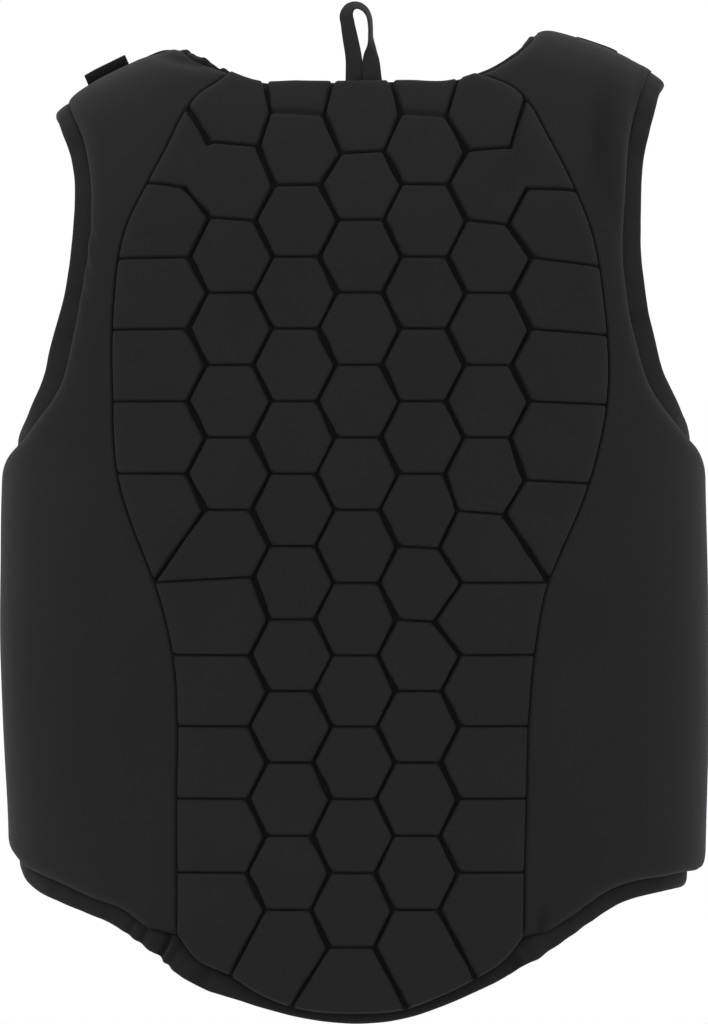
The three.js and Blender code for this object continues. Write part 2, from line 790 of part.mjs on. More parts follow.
// Three patches: shoulder strap, strip beside the armhole, and the body below it
function backSide(edges, heights, seamGap) {
  const { sign } = edges;
  const seam = aside(edges.backSeam, (sign * seamGap) / 2);
  const arm = edges.armBack.map((spot) => ({ ...spot }));
  arm[0].level -= seamGap / 2;
  const pad = aside(edges.pad, -sign * seamGap);
  const ridge = { ...edges.neck[0], level: arm[0].level };
  const neck = [ridge, ...edges.neck.slice(1, neckSpans), pad[0]];
  const strapEnd = between([arm[neckSpans], pad[0]], strapSpans);
  const shoulder = patch(
    between([arm[0], ridge], strapSpans),
    strapEnd,
    arm.slice(0, neckSpans + 1),
    neck,
    heights("shoulder")
  );
  const underarm = neckSpans + besideSpans;
  const divide = between([arm[underarm], pad[besideSpans]], strapSpans);
  const beside = patch(
    strapEnd,
    divide,
    arm.slice(neckSpans, underarm + 1),
    pad.slice(0, besideSpans + 1),
    heights("beside")
  );
  const top = [seam[0], ...arm.slice(underarm + 1, -1).reverse(), ...divide];
  const below = pad.slice(besideSpans);
  const bottom = [seam[backSeamSpans], ...edges.hemBack.slice(1, -1), below[below.length - 1]];
  const body = patch(top, bottom, seam, below, heights("body"));
  return { shoulder, beside, body };
}

function frontSide(edges, heights, seamGap) {
  const { sign } = edges;
  const arm = [...edges.armFront].reverse().slice(0, frontArmSpans);
  const seam = aside(edges.seam, (-sign * seamGap) / 2);
  const left = [...arm, ...seam].map((spot) => ({ ...spot }));
  const right = [...edges.neckFront, ...edges.closure.slice(1)].map((spot) => ({ ...spot }));
  left[0].level -= seamGap / 2;
  right[0].level -= seamGap / 2;
  const last = left.length - 1;
  const top = between([left[0], right[0]], panelSpans);
  const bottom = [left[last], ...edges.hemFront.slice(1, panelSpans), right[last]];
  return patch(top, bottom, left, right, heights("front"));
}

function wallOf(...grids) {
  const wall = new Wall();
  for (const rows of grids) wall.grid(rows);
  return wall.geometry();
}

const leftEdges = sideEdges(-1);
const rightEdges = sideEdges(1);

// Thin back lining: both side patches and the part behind the pad
function backLining() {
  const left = backSide(leftEdges, flatHeights, 0);
  const right = backSide(rightEdges, flatHeights, 0);
  const low = { outer: liningOuter, inner: liningInner };
  const top = [-2.5, -1.5, -0.5, 0.5, 1.5, 2.5].map((line) => corner(line, 0));
  const bottom = [0, 2, 4, 6, 8, 10].map(bottomSpot);
  const inside = (side) => [...side.beside, ...side.body.slice(1)].map((row) => row[row.length - 1]);
  const rightInside = inside(right);
  const middle = inside(left).map((from, i, all) => {
    const to = rightInside[i];
    const t = i / (all.length - 1);
    return top.map((upper, j) => {
      if (j === 0) return from;
      if (j === 5) return to;
      const s = j / 5;
      const mix = (name) => {
        const sides = (1 - s) * from[name] + s * to[name];
        const ends = (1 - t) * upper[name] + t * bottom[j][name];
        const upperLine = (1 - s) * top[0][name] + s * top[5][name];
        const lowerLine = (1 - s) * bottom[0][name] + s * bottom[5][name];
        return sides + ends - (1 - t) * upperLine - t * lowerLine;
      };
      return { turn: mix("turn"), level: mix("level"), ...low };
    });
  });
  return wallOf(...Object.values(left), ...Object.values(right), middle);
}

function armholeBinding(edges) {
  const path = [...edges.armBack, ...edges.armFront.slice(1, frontArmSpans)];
  const sectionAt = (spot) => {
    const isBack = Math.cos(spot.turn) > 0;
    const share = isBack ? smooth(armWidth, "drop", "width", -spot.level / backLength) : 1;
    return bandSection(bindingWidth * share, bindingBottom, bindingTop);
  };
  return carried(path, true, sectionAt, edges.sign);
}

function hemBinding() {
  const bottom = padBottom.map((_, index) => bottomSpot(index)).slice(1, 10);
  const half = (edges) => [...edges.hemFront].reverse().concat(edges.hemBack.slice(1));
  const path = [...half(leftEdges), ...bottom, ...half(rightEdges).reverse()];
  const sectionAt = (spot, point) => {
    const isBack = Math.cos(spot.turn) > 0;
    const across = isBack ? point.x / chestHalfWidth : 1;
    const share = smooth(hemWidth, "across", "width", across);
    return bandSection(bindingWidth * share, bindingBottom, bindingTop);
  };
  return carried(path, false, sectionAt, -1);
}

function neckBinding() {
  const half = (edges) => [...edges.neckFront].reverse().concat(edges.neck.slice(1));
  const middle = [-1.5, -0.5, 0.5, 1.5].map((line) => corner(line, 0));
  const path = [...half(leftEdges), ...middle, ...half(rightEdges).reverse()];
  const section = bandSection(neckBindingWidth, bindingBottom, neckBindingTop);
  return carried(path, false, () => section, 1);
}

// Flat strip of the front closure
function frontClosure() {
  const rows = leftEdges.closure.map((spot) => {
    const half = zipHalfWidth - gap;
    return [-half, -half / 3, half / 3, half].map((x, i) => ({
      ...spotAt(x, spot.level, false),
      outer: i === 0 || i === 3 ? zipEdge : zipOuter,
      inner: zipInner,
    }));
  });
  const forward = (spot) => ({ ...spot, turn: (spot.turn + 4 * quarter) % (4 * quarter) });
  return wallOf(rows.map((row) => row.map(forward)));
}

// Tape loop at the back of the neck: two legs side by side that part round a drop-shaped gap
function hangLoop() {
  const edge = (rows, spans, isBase) => {
    const points = rows.map((row) => new THREE.Vector3(row.across * loopHeight, row.rise * loopHeight, 0));
    const curve = new THREE.CatmullRomCurve3(points, !isBase);
    const even = curve.getSpacedPoints(spans).slice(0, isBase ? spans + 1 : spans);
    return even.map((point) => new THREE.Vector2(point.x, point.y));
  };
  const shape = new THREE.Shape(edge(loopOutline, loopSpans, true));
  shape.holes.push(new THREE.Path(edge(loopHole, loopHoleSpans, false)));
  const geometry = new THREE.ExtrudeGeometry(shape, { depth: loopThickness, bevelEnabled: false });
  const seat = spotAt(loopCentre, neckLevelAt(loopCentre));
  const base = place(seat, loopSeat);
  geometry.rotateX(quarter);
  geometry.translate(loopCentre, base.y + loopThickness / 2, base.z + loopRaise);
  return geometry;
}

// Fastening strap over the front of a shoulder, its free end standing off by a length
function shoulderTab(sign, lift) {
  const rise = panelThickness + tabThickness / 2 + gap;
  const rings = Array.from({ length: tabSpans + 1 }, (_, i) =>
    [-1, 1].map((k) => {
      const level = shoulderRun - tabSetback - tabLength * (1 - i / tabSpans);
      const spot = spotAt(sign * tabMiddle + (k * tabWidth) / 2, level, false);
      return { point: place(spot, rise), out: outward(spot.turn, spot.level) };
    })
  );
  if (lift > 0) {
    const before = rings[tabSpans - 3];
    const free = rings[tabSpans].map(({ point, out }, k) => {
      const along = point.clone().sub(before[k].point).normalize();
      return { point: point.clone().addScaledVector(along, lift), out };
    });
    rings.push(free);
  }
  const half = tabThickness / 2;
  const bands = rings.map(([a, b]) => [
    a.point.clone().addScaledVector(a.out, -half),
    b.point.clone().addScaledVector(b.out, -half),
    b.point.clone().addScaledVector(b.out, half),
    a.point.clone().addScaledVector(a.out, half),
  ]);
  return ringed(bands, false);
}

const colours = {
  shell: 0x29292a,
  lining: 0x1d1d1f,
  trim: 0x1f1f20,
  closure: 0x161617,
};
const clothRoughness = 0.85;
const knitRoughness = 0.9;
const tapeRoughness = 0.78;

function piece(name, geometry, colour, roughness) {
  const material = new THREE.MeshStandardMaterial({ color: colour, roughness, metalness: 0 });
  material.name = name;
  const mesh = new THREE.Mesh(geometry.getIndex() ? facingOut(geometry) : geometry, material);
  mesh.name = name;
  return mesh;
}

const panel = (patches) => wallOf(...Object.values(patches));
const cloth = (name, geometry) => piece(name, geometry, colours.shell, clothRoughness);
const lining = (name, geometry) => piece(name, geometry, colours.lining, knitRoughness);
const knit = (name, geometry) => piece(name, geometry, colours.trim, knitRoughness);
const tape = (name, geometry) => piece(name, geometry, colours.closure, tapeRoughness);

const part = new THREE.Group();
part.name = "body_protector";
part.add(
  cloth("back_pad_hex", spinePad()),
  cloth("back_side_left", panel(backSide(leftEdges, paddedHeights, gap))),
  cloth("back_side_right", panel(backSide(rightEdges, paddedHeights, gap))),
  cloth("front_left", wallOf(frontSide(leftEdges, paddedHeights, gap))),
  cloth("front_right", wallOf(frontSide(rightEdges, paddedHeights, gap))),
  lining("lining_back", backLining()),
  lining("lining_front_left", wallOf(frontSide(leftEdges, flatHeights, gap))),
  lining("lining_front_right", wallOf(frontSide(rightEdges, flatHeights, gap))),
  knit("armhole_binding_left", armholeBinding(leftEdges)),
  knit("armhole_binding_right", armholeBinding(rightEdges)),
  knit("neck_binding", neckBinding()),
  knit("hem_binding", hemBinding()),
  tape("front_zip", frontClosure()),
  tape("hang_loop", hangLoop()),
  tape("shoulder_tab_left", shoulderTab(-1, tabLift)),
  tape("shoulder_tab_right", shoulderTab(1, 0))
);

export default part;
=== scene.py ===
import math
import bpy
import numpy as np
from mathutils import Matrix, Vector


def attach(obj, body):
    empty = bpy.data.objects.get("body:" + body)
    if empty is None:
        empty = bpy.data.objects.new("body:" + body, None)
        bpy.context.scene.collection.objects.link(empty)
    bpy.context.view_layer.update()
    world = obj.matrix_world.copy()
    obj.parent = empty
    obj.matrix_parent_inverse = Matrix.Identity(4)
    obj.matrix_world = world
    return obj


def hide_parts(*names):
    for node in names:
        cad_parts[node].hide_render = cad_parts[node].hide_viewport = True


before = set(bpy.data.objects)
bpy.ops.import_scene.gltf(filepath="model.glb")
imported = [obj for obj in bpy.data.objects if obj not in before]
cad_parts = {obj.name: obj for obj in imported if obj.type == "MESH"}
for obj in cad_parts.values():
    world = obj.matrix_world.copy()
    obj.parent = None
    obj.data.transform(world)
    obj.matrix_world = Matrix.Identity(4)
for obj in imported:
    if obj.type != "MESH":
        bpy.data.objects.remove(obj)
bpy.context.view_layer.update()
mm = 0.001
quarterTurn = math.pi / 2
print("frame loaded:", len(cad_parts), "nodes")

# Camera where the photograph was taken from, square behind the spine and level with its middle
cameraSizes = {"distance": 3.0, "height": -0.2812, "lens": 170.1, "sensor": 36}
cameraData = bpy.data.cameras.new("camera")
cameraData.sensor_width = cameraSizes["sensor"]
cameraData.lens = cameraSizes["lens"]
camera = bpy.data.objects.new("camera", cameraData)
camera.location = (0, -cameraSizes["distance"], cameraSizes["height"])
camera.rotation_euler = (quarterTurn, 0, 0)
bpy.context.scene.collection.objects.link(camera)
bpy.context.scene.camera = camera

# Main sizes in millimetres, the same as the solids have. The tables are shares of the chest's half width
# across and of the back's length down, and a turn is a share of a quarter turn from the spine.
torsoSizes = {
    "chest": 200.0,
    "backLength": 600.0,
    "shoulderRun": 90.0,  # level where the cloth has folded right over the shoulder
    "shoulderStart": 130.0,
    "squareBack": 2.5,  # 2 would be an ellipse
    "squareFront": 2.3,
}
sections = {
    "drop": [-0.15, 0.1, 0.317, 0.5, 0.667, 0.833, 1],
    "halfWidth": [0.98, 0.99, 1.01, 1.0265, 1.028, 1.0125, 1],
    "back": [0.48, 0.515, 0.54, 0.515, 0.48, 0.505, 0.565],
    "front": [0.44, 0.46, 0.5, 0.52, 0.505, 0.52, 0.55],
}
shoulderLine = {
    "across": [-1.075, -0.91, -0.725, -0.54, -0.25, 0, 0.25, 0.56, 0.75, 0.925, 1.075],
    "rise": [-0.33, -0.225, -0.12, -0.025, 0.02, 0.03, 0.035, 0.0235, -0.04, -0.125, -0.21],
}
padOutline = {
    "drop": [0.045, 0.096, 0.1835, 0.26, 0.3565, 0.426, 0.471, 0.54, 0.605, 0.757, 0.892],
    "left": [-0.49, -0.552, -0.665, -0.697, -0.7, -0.69, -0.657, -0.58, -0.533, -0.519, -0.516],
    "right": [0.507, 0.578, 0.686, 0.724, 0.734, 0.694, 0.65, 0.565, 0.53, 0.504, 0.493],
}
padShoulder = {
    "left": [-0.365, -0.41, -0.455],
    "leftDrop": [-0.004, 0.0135, 0.0265],
    "right": [0.362, 0.418, 0.468],
    "rightDrop": [0.0105, 0.019, 0.029],
}
padBottom = {
    "across": [-0.516, -0.458, -0.362, -0.285, -0.185, 0, 0.156, 0.26, 0.356, 0.44, 0.493],
    "drop": [0.892, 0.9165, 0.932, 0.9485, 0.962, 0.9685, 0.964, 0.951, 0.935, 0.9165, 0.895],
}
backNeck = {
    "across": [-0.533, -0.51, -0.472, -0.388, -0.306, -0.16, 0, 0.16, 0.28, 0.344, 0.417, 0.49, 0.533, 0.555],
    "drop": [
        -0.15, -0.1, -0.055, -0.013, 0.011, 0.0185, 0.02, 0.0205, 0.021, 0.013, -0.003, -0.035, -0.078, -0.15,
    ],
}
frontNeck = {
    "across": [0.545, 0.515, 0.455, 0.36, 0.22, 0.045],
    "drop": [-0.15, -0.06, 0.005, 0.06, 0.1, 0.115],
}
backArmhole = {
    "drop": [-0.15, -0.06, 0.05, 0.13, 0.203, 0.2465, 0.2865, 0.344, 0.383, 0.399, 0.4125, 0.4165],
    "left": [-0.614, -0.595, -0.544, -0.521, -0.524, -0.536, -0.552, -0.595, -0.698, -0.78, -0.94, -1.114],
    "right": [0.655, 0.614, 0.568, 0.545, 0.531, 0.537, 0.552, 0.602, 0.715, 0.82, 0.96, 1.114],
}
frontArmhole = {
    "drop": [0.4165, 0.405, 0.375, 0.32, 0.25, 0.16, 0.05, -0.06, -0.15],
    "left": [-1.114, -1.21, -1.3, -1.385, -1.44, -1.465, -1.45, -1.4, -1.363],
    "right": [1.114, 1.21, 1.3, 1.385, 1.44, 1.465, 1.44, 1.37, 1.32],
}
leftHem = {
    "turn": [-1.114, -0.819, -0.74, -0.595, -0.5, -0.434, -0.385],
    "drop": [0.818, 0.825, 0.833, 0.845, 0.8585, 0.869, 0.886],
}
rightHem = {
    "turn": [1.114, 0.88, 0.663, 0.477, 0.4, 0.365],
    "drop": [0.831, 0.8345, 0.8365, 0.8527, 0.877, 0.888],
}
frontHem = {"turn": [1.114, 1.5, 2], "drop": [0.817, 0.83, 0.845]}


# Smooth curve through two columns of a table: cubic pieces, each row's slope the mean of its neighbours' slopes
def curveThrough(table, key, value, at):
    x = np.array(table[key], float)
    y = np.array(table[value], float)
    if x[-1] < x[0]:
        x, y = x[::-1], y[::-1]
    step = np.diff(x)
    slope = np.diff(y) / step
    middle = (slope[:-1] * step[1:] + slope[1:] * step[:-1]) / (step[:-1] + step[1:])
    tangent = np.concatenate([slope[:1], middle, slope[-1:]])
    at = np.clip(at, x[0], x[-1])
    k = np.clip(np.searchsorted(x, at, side="right") - 1, 0, len(x) - 2)
    t = (at - x[k]) / step[k]
    start = (2 * t**3 - 3 * t**2 + 1) * y[k] + (3 * t**2 - 2 * t**3) * y[k + 1]
    return start + step[k] * ((t**3 - 2 * t**2 + t) * tangent[k] + (t**3 - t**2) * tangent[k + 1])


# Row of a table at a place between its rows, counted from 0
def rowsAt(table, index):
    count = {"index": list(range(len(next(iter(table.values())))))}
    return {name: curveThrough({**count, name: column}, "index", name, index) for name, column in table.items()}


# Torso surface: a rounded-square section at each level, folded over the shoulders along a quarter of an ellipse
def torso(turn, level):
    size = torsoSizes
    drop = -level / size["backLength"]
    isBack = np.cos(turn) > 0
    halfWidth = curveThrough(sections, "drop", "halfWidth", drop) * size["chest"]
    back = curveThrough(sections, "drop", "back", drop)
    front = curveThrough(sections, "drop", "front", drop)
    depth = np.where(isBack, -back, front) * size["chest"]
    power = np.where(isBack, size["squareBack"], size["squareFront"])
    sine, cosine = np.sin(turn), np.abs(np.cos(turn))
    q = (np.abs(sine) ** power + cosine**power) ** (1 / power)
    x = halfWidth * sine / q
    y = depth * cosine / q
    start = size["shoulderStart"]
    share = np.clip((level + start) / (size["shoulderRun"] + start), 0, 1)
    bend = share * quarterTurn
    crown = curveThrough(shoulderLine, "across", "rise", x / size["chest"]) * size["chest"]
    z = np.where(share > 0, -start + (crown + start) * np.sin(bend), level)
    return np.stack([x, y * np.cos(bend), z], -1)


# Vectors divided by their own lengths
def unit(vectors):
    return vectors / np.maximum(np.linalg.norm(vectors, axis=-1, keepdims=True), 1e-9)


# Way off the torso: across both of its runs, the one round it and the one up it
def outward(turn, level):
    below = np.minimum(level, torsoSizes["shoulderRun"] - 0.1)
    alongTurn = torso(turn + 1e-4, level) - torso(turn - 1e-4, level)
    alongLevel = torso(turn, below + 0.05) - torso(turn, below - 0.05)
    return unit(np.cross(alongTurn, alongLevel))


# Points at a height over the torso: each spot's point, moved along its outward way
def place(spots, height):
    turn, level = spots[..., 0], spots[..., 1]
    return torso(turn, level) + outward(turn, level) * np.asarray(height)[..., None]


# Spot, turn and level, at a distance x from the middle plane
def spotAt(x, level, isBack=True):
    x, level = np.broadcast_arrays(np.asarray(x, float), np.asarray(level, float))
    drop = -level / torsoSizes["backLength"]
    halfWidth = curveThrough(sections, "drop", "halfWidth", drop) * torsoSizes["chest"]
    power = torsoSizes["squareBack"] if isBack else torsoSizes["squareFront"]
    share = np.minimum(0.99999, np.abs(x) / halfWidth) ** power
    angle = np.arctan((share / (1 - share)) ** (1 / power))
    turn = np.sign(x) * (angle if isBack else math.pi - angle)
    return np.stack([turn, level], -1)


# Even points and outward ways along a run of spots, read in space so that the run may cross the shoulder ridge
def runInSpace(spots, spacing, isClosed, soft):
    if isClosed:
        spots = np.vstack([spots, spots[:1]])
    points, out = torso(spots[:, 0], spots[:, 1]), outward(spots[:, 0], spots[:, 1])
    way = np.concatenate([[0], np.cumsum(np.linalg.norm(np.diff(points, axis=0), axis=1))])
    keep = np.concatenate([[True], np.diff(way) > 1e-6])
    at = np.linspace(0, way[-1], int(round(way[-1] / spacing)) + 1)
    both = np.hstack([points, out, np.cos(spots[:, :1])])[keep]
    even = np.stack([np.interp(at, way[keep], column) for column in both.T], -1)
    even = eased(even[:-1] if isClosed else even, soft, isClosed)
    return even[:, :3], unit(even[:, 3:6]), even[:, 6] > 0


# Mean over a window that slides along a run, ends held
def eased(values, half, isClosed=False):
    kernel = np.hanning(2 * half + 3)[1:-1]
    kernel /= kernel.sum()
    pad = [(half, half)] + [(0, 0)] * (values.ndim - 1)
    if isClosed:
        wide = np.pad(values, pad, mode="wrap")
    else:
        wide = np.pad(values, pad, mode="reflect", reflect_type="odd")
    columns = [np.convolve(column, kernel, mode="valid") for column in wide.reshape(len(wide), -1).T]
    return np.stack(columns, -1).reshape(values.shape)


# Soft unevenness: a sum of sine waves in seeded directions, about 1 high at most
def softNoise(points, wavelength, seed, waves=9):
    rng = np.random.default_rng(seed)
    direction = unit(rng.normal(size=(waves, 3)))
    length = wavelength * rng.uniform(0.7, 1.6, waves)
    phase = rng.uniform(0, 2 * math.pi, waves)
    angle = points @ (direction / length[:, None]).T * 2 * math.pi + phase
    return np.sin(angle).sum(-1) / math.sqrt(waves) / 1.6


# Distance from points to a run of points: the nearer of the two segments at the nearest run point
def distanceTo(points, line, blockSize=4096):
    best = np.empty(len(points))
    for start in range(0, len(points), blockSize):
        block = points[start:start + blockSize]
        square = (block**2).sum(1)[:, None] - 2 * block @ line.T + (line**2).sum(1)[None, :]
        k = square.argmin(1)
        near = np.full(len(block), np.inf)
        for first in (np.maximum(k - 1, 0), np.minimum(k, len(line) - 2)):
            a, b = line[first], line[first + 1]
            run = b - a
            t = np.clip(((block - a) * run).sum(1) / np.maximum((run**2).sum(1), 1e-9), 0, 1)
            near = np.minimum(near, np.linalg.norm(block - a - run * t[:, None], axis=1))
        best[start:start + blockSize] = near
    return best


# Patch between four runs of spots: each side's own shape, blended across and down
def patch(top, bottom, left, right):
    s = np.linspace(0, 1, len(top))[None, :, None]
    t = np.linspace(0, 1, len(left))[:, None, None]
    sides = (1 - s) * left[:, None] + s * right[:, None]
    ends = (1 - t) * top[None] + t * bottom[None]
    corners = (1 - t) * ((1 - s) * top[0] + s * top[-1]) + t * ((1 - s) * bottom[0] + s * bottom[-1])
    return sides + ends - corners


# Quads between neighbours in a grid of point numbers
def quadsOf(index):
    return np.stack([index[:-1, :-1], index[:-1, 1:], index[1:, 1:], index[1:, :-1]], -1).reshape(-1, 4)


def gridFaces(rows, columns, first=0):
    return quadsOf(first + np.arange(rows * columns).reshape(rows, columns))


# Spots that are the same to about a hundredth of a millimetre: the first of each, and its number for every spot
def sameSpots(spots):
    key = np.round(np.stack([spots[:, 0] * 2e4, spots[:, 1] * 1e2], -1)).astype(np.int64)
    _, first, back = np.unique(key, axis=0, return_index=True, return_inverse=True)
    return first, back.reshape(-1)


# Patches joined into one sheet of spots, points that two patches share kept once
def joined(grids):
    spots = np.concatenate([grid.reshape(-1, 2) for grid in grids])
    starts = np.cumsum([0] + [grid.shape[0] * grid.shape[1] for grid in grids])
    faces = np.concatenate([gridFaces(*grid.shape[:2], start) for grid, start in zip(grids, starts)])
    first, back = sameSpots(spots)
    return spots[first], back[faces]


# Quads from the edges that only one face has to the same edges of a second skin, count points further on
def openWall(edges, count):
    key = edges.min(1) * (count + 1) + edges.max(1)
    _, first, uses = np.unique(key, return_index=True, return_counts=True)
    naked = edges[first[uses == 1]]
    return np.stack([naked[:, 1], naked[:, 0], naked[:, 0] + count, naked[:, 1] + count], -1)


# Wall between an outer and an inner skin of the same faces, closed along every open edge
def closedWall(outer, inner, faces):
    sides = faces.shape[1]
    edges = np.concatenate([faces[:, [k, (k + 1) % sides]] for k in range(sides)])
    wall = openWall(edges[edges[:, 0] != edges[:, 1]], len(outer))
    return np.concatenate([outer, inner]), [faces, faces[:, ::-1] + len(outer), wall]


# Skin of a tube from its rings of points: closed round each ring, and along its path or over both ends
def tubeSkin(rings, isClosed=False):
    rows, columns = rings.shape[:2]
    index = np.arange(rows * columns).reshape(rows, columns)
    if isClosed:
        index = np.vstack([index, index[:1]])
    faces = quadsOf(np.hstack([index, index[:, :1]]))
    points = rings.reshape(-1, 3)
    if isClosed:
        return points, [faces]
    points = np.vstack([points, rings[0].mean(0), rings[-1].mean(0)])
    ring, last = np.arange(columns), (rows - 1) * columns
    firstEnd = np.stack([(ring + 1) % columns, ring, np.full(columns, len(points) - 2)], -1)
    lastEnd = np.stack([last + ring, last + (ring + 1) % columns, np.full(columns, len(points) - 1)], -1)
    return points, [faces, firstEnd, lastEnd]


# Six times the volume inside a closed mesh, below zero when it is inside out
def volumeOf(points, groups):
    total = 0.0
    for faces in groups:
        for k in range(1, faces.shape[1] - 1):
            a, b, c = points[faces[:, 0]], points[faces[:, k]], points[faces[:, k + 1]]
            total += (a * np.cross(b, c)).sum()
    return total


# Object from points in millimetres and arrays of faces, with marks that its material reads
def newPiece(name, points, groups, material, marks=None):
    if volumeOf(points, groups) < 0:
        groups = [faces[:, ::-1] for faces in groups]
    mesh = bpy.data.meshes.new(name)
    mesh.from_pydata((points * mm).tolist(), [], [face for faces in groups for face in faces.tolist()])
    for key, values in (marks or {}).items():
        layer = mesh.attributes.new(key, "FLOAT", "POINT")
        layer.data.foreach_set("value", np.asarray(values, np.float32))
    mesh.validate(clean_customdata=False)
    mesh.polygons.foreach_set("use_smooth", [True] * len(mesh.polygons))
    mesh.update()
    piece = bpy.data.objects.new(name, mesh)
    bpy.context.scene.collection.objects.link(piece)
    mesh.materials.append(material)
    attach(piece, "root")
    return piece


# sRGB hex to the linear colour that the shader takes
def linear(code):
    parts = [int(code[k:k + 2], 16) / 255 for k in (1, 3, 5)]
    return [p / 12.92 if p <= 0.04045 else ((p + 0.055) / 1.055) ** 2.4 for p in parts] + [1]


# One node with its settings, and links into its inputs from other nodes' outputs
def addNode(tree, kind, settings=None, links=None):
    node = tree.nodes.new(kind)
    for key, value in (settings or {}).items():
        if isinstance(key, str) and hasattr(node, key):
            setattr(node, key, value)
        else:
            node.inputs[key].default_value = value
    for key, source in (links or {}).items():
        tree.links.new(source, node.inputs[key])
    return node


# Black cloth of small threads: colour uneven from dye and wear, and painted shade mixed in where the "shade" mark
# is set, in grooves, folds, seams and the dips of gathers
def clothMaterial(name, look):
    material = bpy.data.materials.new(name)
    material.use_nodes = True
    tree = material.node_tree
    shader = tree.nodes["Principled BSDF"]
    shader.inputs["Roughness"].default_value = look["roughness"]
    shader.inputs["IOR"].default_value = 1.5
    shader.inputs["Specular IOR Level"].default_value = look["specular"]
    shader.inputs["Sheen Weight"].default_value = look["sheen"]
    shader.inputs["Sheen Roughness"].default_value = 0.5
    place3d = addNode(tree, "ShaderNodeTexCoord").outputs["Object"]
    perMetre = 1 / (look["threadMm"] * mm)
    turn = {"Rotation": (0, look["angle"], 0), "Scale": (perMetre, perMetre, perMetre)}
    turned = addNode(tree, "ShaderNodeMapping", turn, {"Vector": place3d})
    # A scale of 0.314 draws one band for each thread
    bands = {"wave_type": "BANDS", "Scale": 0.314, "Distortion": look["waver"], "Detail": 1.0}
    across = addNode(tree, "ShaderNodeTexWave", {**bands, "bands_direction": "X"}, {"Vector": turned.outputs[0]})
    along = addNode(tree, "ShaderNodeTexWave", {**bands, "bands_direction": "Z"}, {"Vector": turned.outputs[0]})
    threads = {0: across.outputs["Fac"], 1: along.outputs["Fac"]}
    weave = addNode(tree, "ShaderNodeMath", {"operation": "MAXIMUM"}, threads)
    clouds = {"Scale": 18.0, "Detail": 4.0, "Roughness": 0.55}
    cloudy = addNode(tree, "ShaderNodeTexNoise", clouds, {"Vector": place3d})
    fine = addNode(tree, "ShaderNodeTexNoise", {"Scale": 420.0, "Detail": 2.0}, {"Vector": place3d})
    shade = addNode(tree, "ShaderNodeAttribute", {"attribute_name": "shade"})
    base = addNode(tree, "ShaderNodeMix", {"data_type": "RGBA"}, {0: cloudy.outputs["Fac"]})
    base.inputs[6].default_value = linear(look["colour"])
    base.inputs[7].default_value = linear(look["colourLight"])
    # Painted shade: the shade mark mixes the base colour towards the darker shade colour
    deep = addNode(tree, "ShaderNodeMix", {"data_type": "RGBA"}, {0: shade.outputs["Fac"], 6: base.outputs[2]})
    deep.inputs[7].default_value = linear(look["colourShade"])
    tree.links.new(deep.outputs[2], shader.inputs["Base Color"])
    fuzz = {"operation": "MULTIPLY_ADD", 1: 0.35}
    both = addNode(tree, "ShaderNodeMath", fuzz, {0: fine.outputs["Fac"], 2: weave.outputs[0]})
    relief = {"Strength": look["bump"], "Distance": look["threadMm"] * mm * 0.3}
    bump = addNode(tree, "ShaderNodeBump", relief, {"Height": both.outputs[0]})
    tree.links.new(bump.outputs[0], shader.inputs["Normal"])
    return material


# threadMm is the drawn spacing of the threads. The real ones, 0.3 to 0.6 mm, are too fine to show at this size.

# Woven polyester shell: matt, even, slightly lighter where it turns away
shellMaterial = clothMaterial("woven_polyester_shell", {
    "colour": "#181818", "colourLight": "#1c1c1c", "colourShade": "#060607", "roughness": 0.85, "specular": 0.14,
    "sheen": 0.04, "threadMm": 0.9, "waver": 0.6, "angle": 0.05, "bump": 0.25,
})
# Knitted elastic binding: softer and darker than the shell, fine ribs
bindingMaterial = clothMaterial("knit_elastic_binding", {
    "colour": "#191919", "colourLight": "#1e1e1e", "colourShade": "#080808", "roughness": 0.9, "specular": 0.12,
    "sheen": 0.04, "threadMm": 1.1, "waver": 1.2, "angle": 0.7, "bump": 0.35,
})
# Knitted mesh lining: matt, dull
liningMaterial = clothMaterial("knit_mesh_lining", {
    "colour": "#111112", "colourLight": "#141415", "colourShade": "#070707", "roughness": 0.95, "specular": 0.1,
    "sheen": 0.03, "threadMm": 1.6, "waver": 2.5, "angle": 0.78, "bump": 0.6,
})
# Woven tape of the loop and the closures: tight ribs across
tapeMaterial = clothMaterial("woven_tape", {
    "colour": "#1b1b1b", "colourLight": "#1f1f1f", "colourShade": "#070707", "roughness": 0.75, "specular": 0.18,
    "sheen": 0.03, "threadMm": 0.8, "waver": 0.3, "angle": 0.1, "bump": 0.4,
})
print("materials made")

# Spine pad: knots of its outline, cells and grooves
padSizes = {
    "columnPitch": 37.6, "zigzag": 5.3, "topZigzag": 1.6, "columnCentre": 5.0, "columnLean": 0.27,
    "halfRow": 21.07, "halfRowGrowth": 0.033, "rowAtShoulderStart": 5,
    "cornerCellLevel": -27.0, "mergedCellLevel": -57.0,
    "mergedMiddle": {"left": (-6.5, -3.0), "right": (0.0, 0.0)},  # moves its middle clear of an inward corner
    "top": 15.7, "inner": 1.6, "spacing": 1.9, "unevenness": 0.35,
    "depth": 4.6, "wallRun": 1.1,
    "steepHalf": 1.2, "gentleHalf": 0.65, "levelHalf": 0.25,  # half widths: grooves falling right, left, level
    "wobble": 0.42, "levelWobble": 0.2, "levelDepth": 0.68, "levelSlope": 0.6,
    "neckHalf": 0.2, "neckRun": 3.2, "neckDepth": 0.5,  # the level grooves by the neck are softer
    "neckBelow": -62.0, "neckWithin": 75.0,
    "edgeDrop": 2.6, "edgeRun": 9.0, "rimShare": 0.42, "rimHalf": 0.1, "rimRun": 1.0,
    "merge": 2.4,  # a lower merge rounds the corners of the cells more
    "rings": [0, 0.4, 0.75, 1.1, 1.45, 1.8, 2.2, 2.8, 3.8, 5.5, 8.5, 12.5],
}
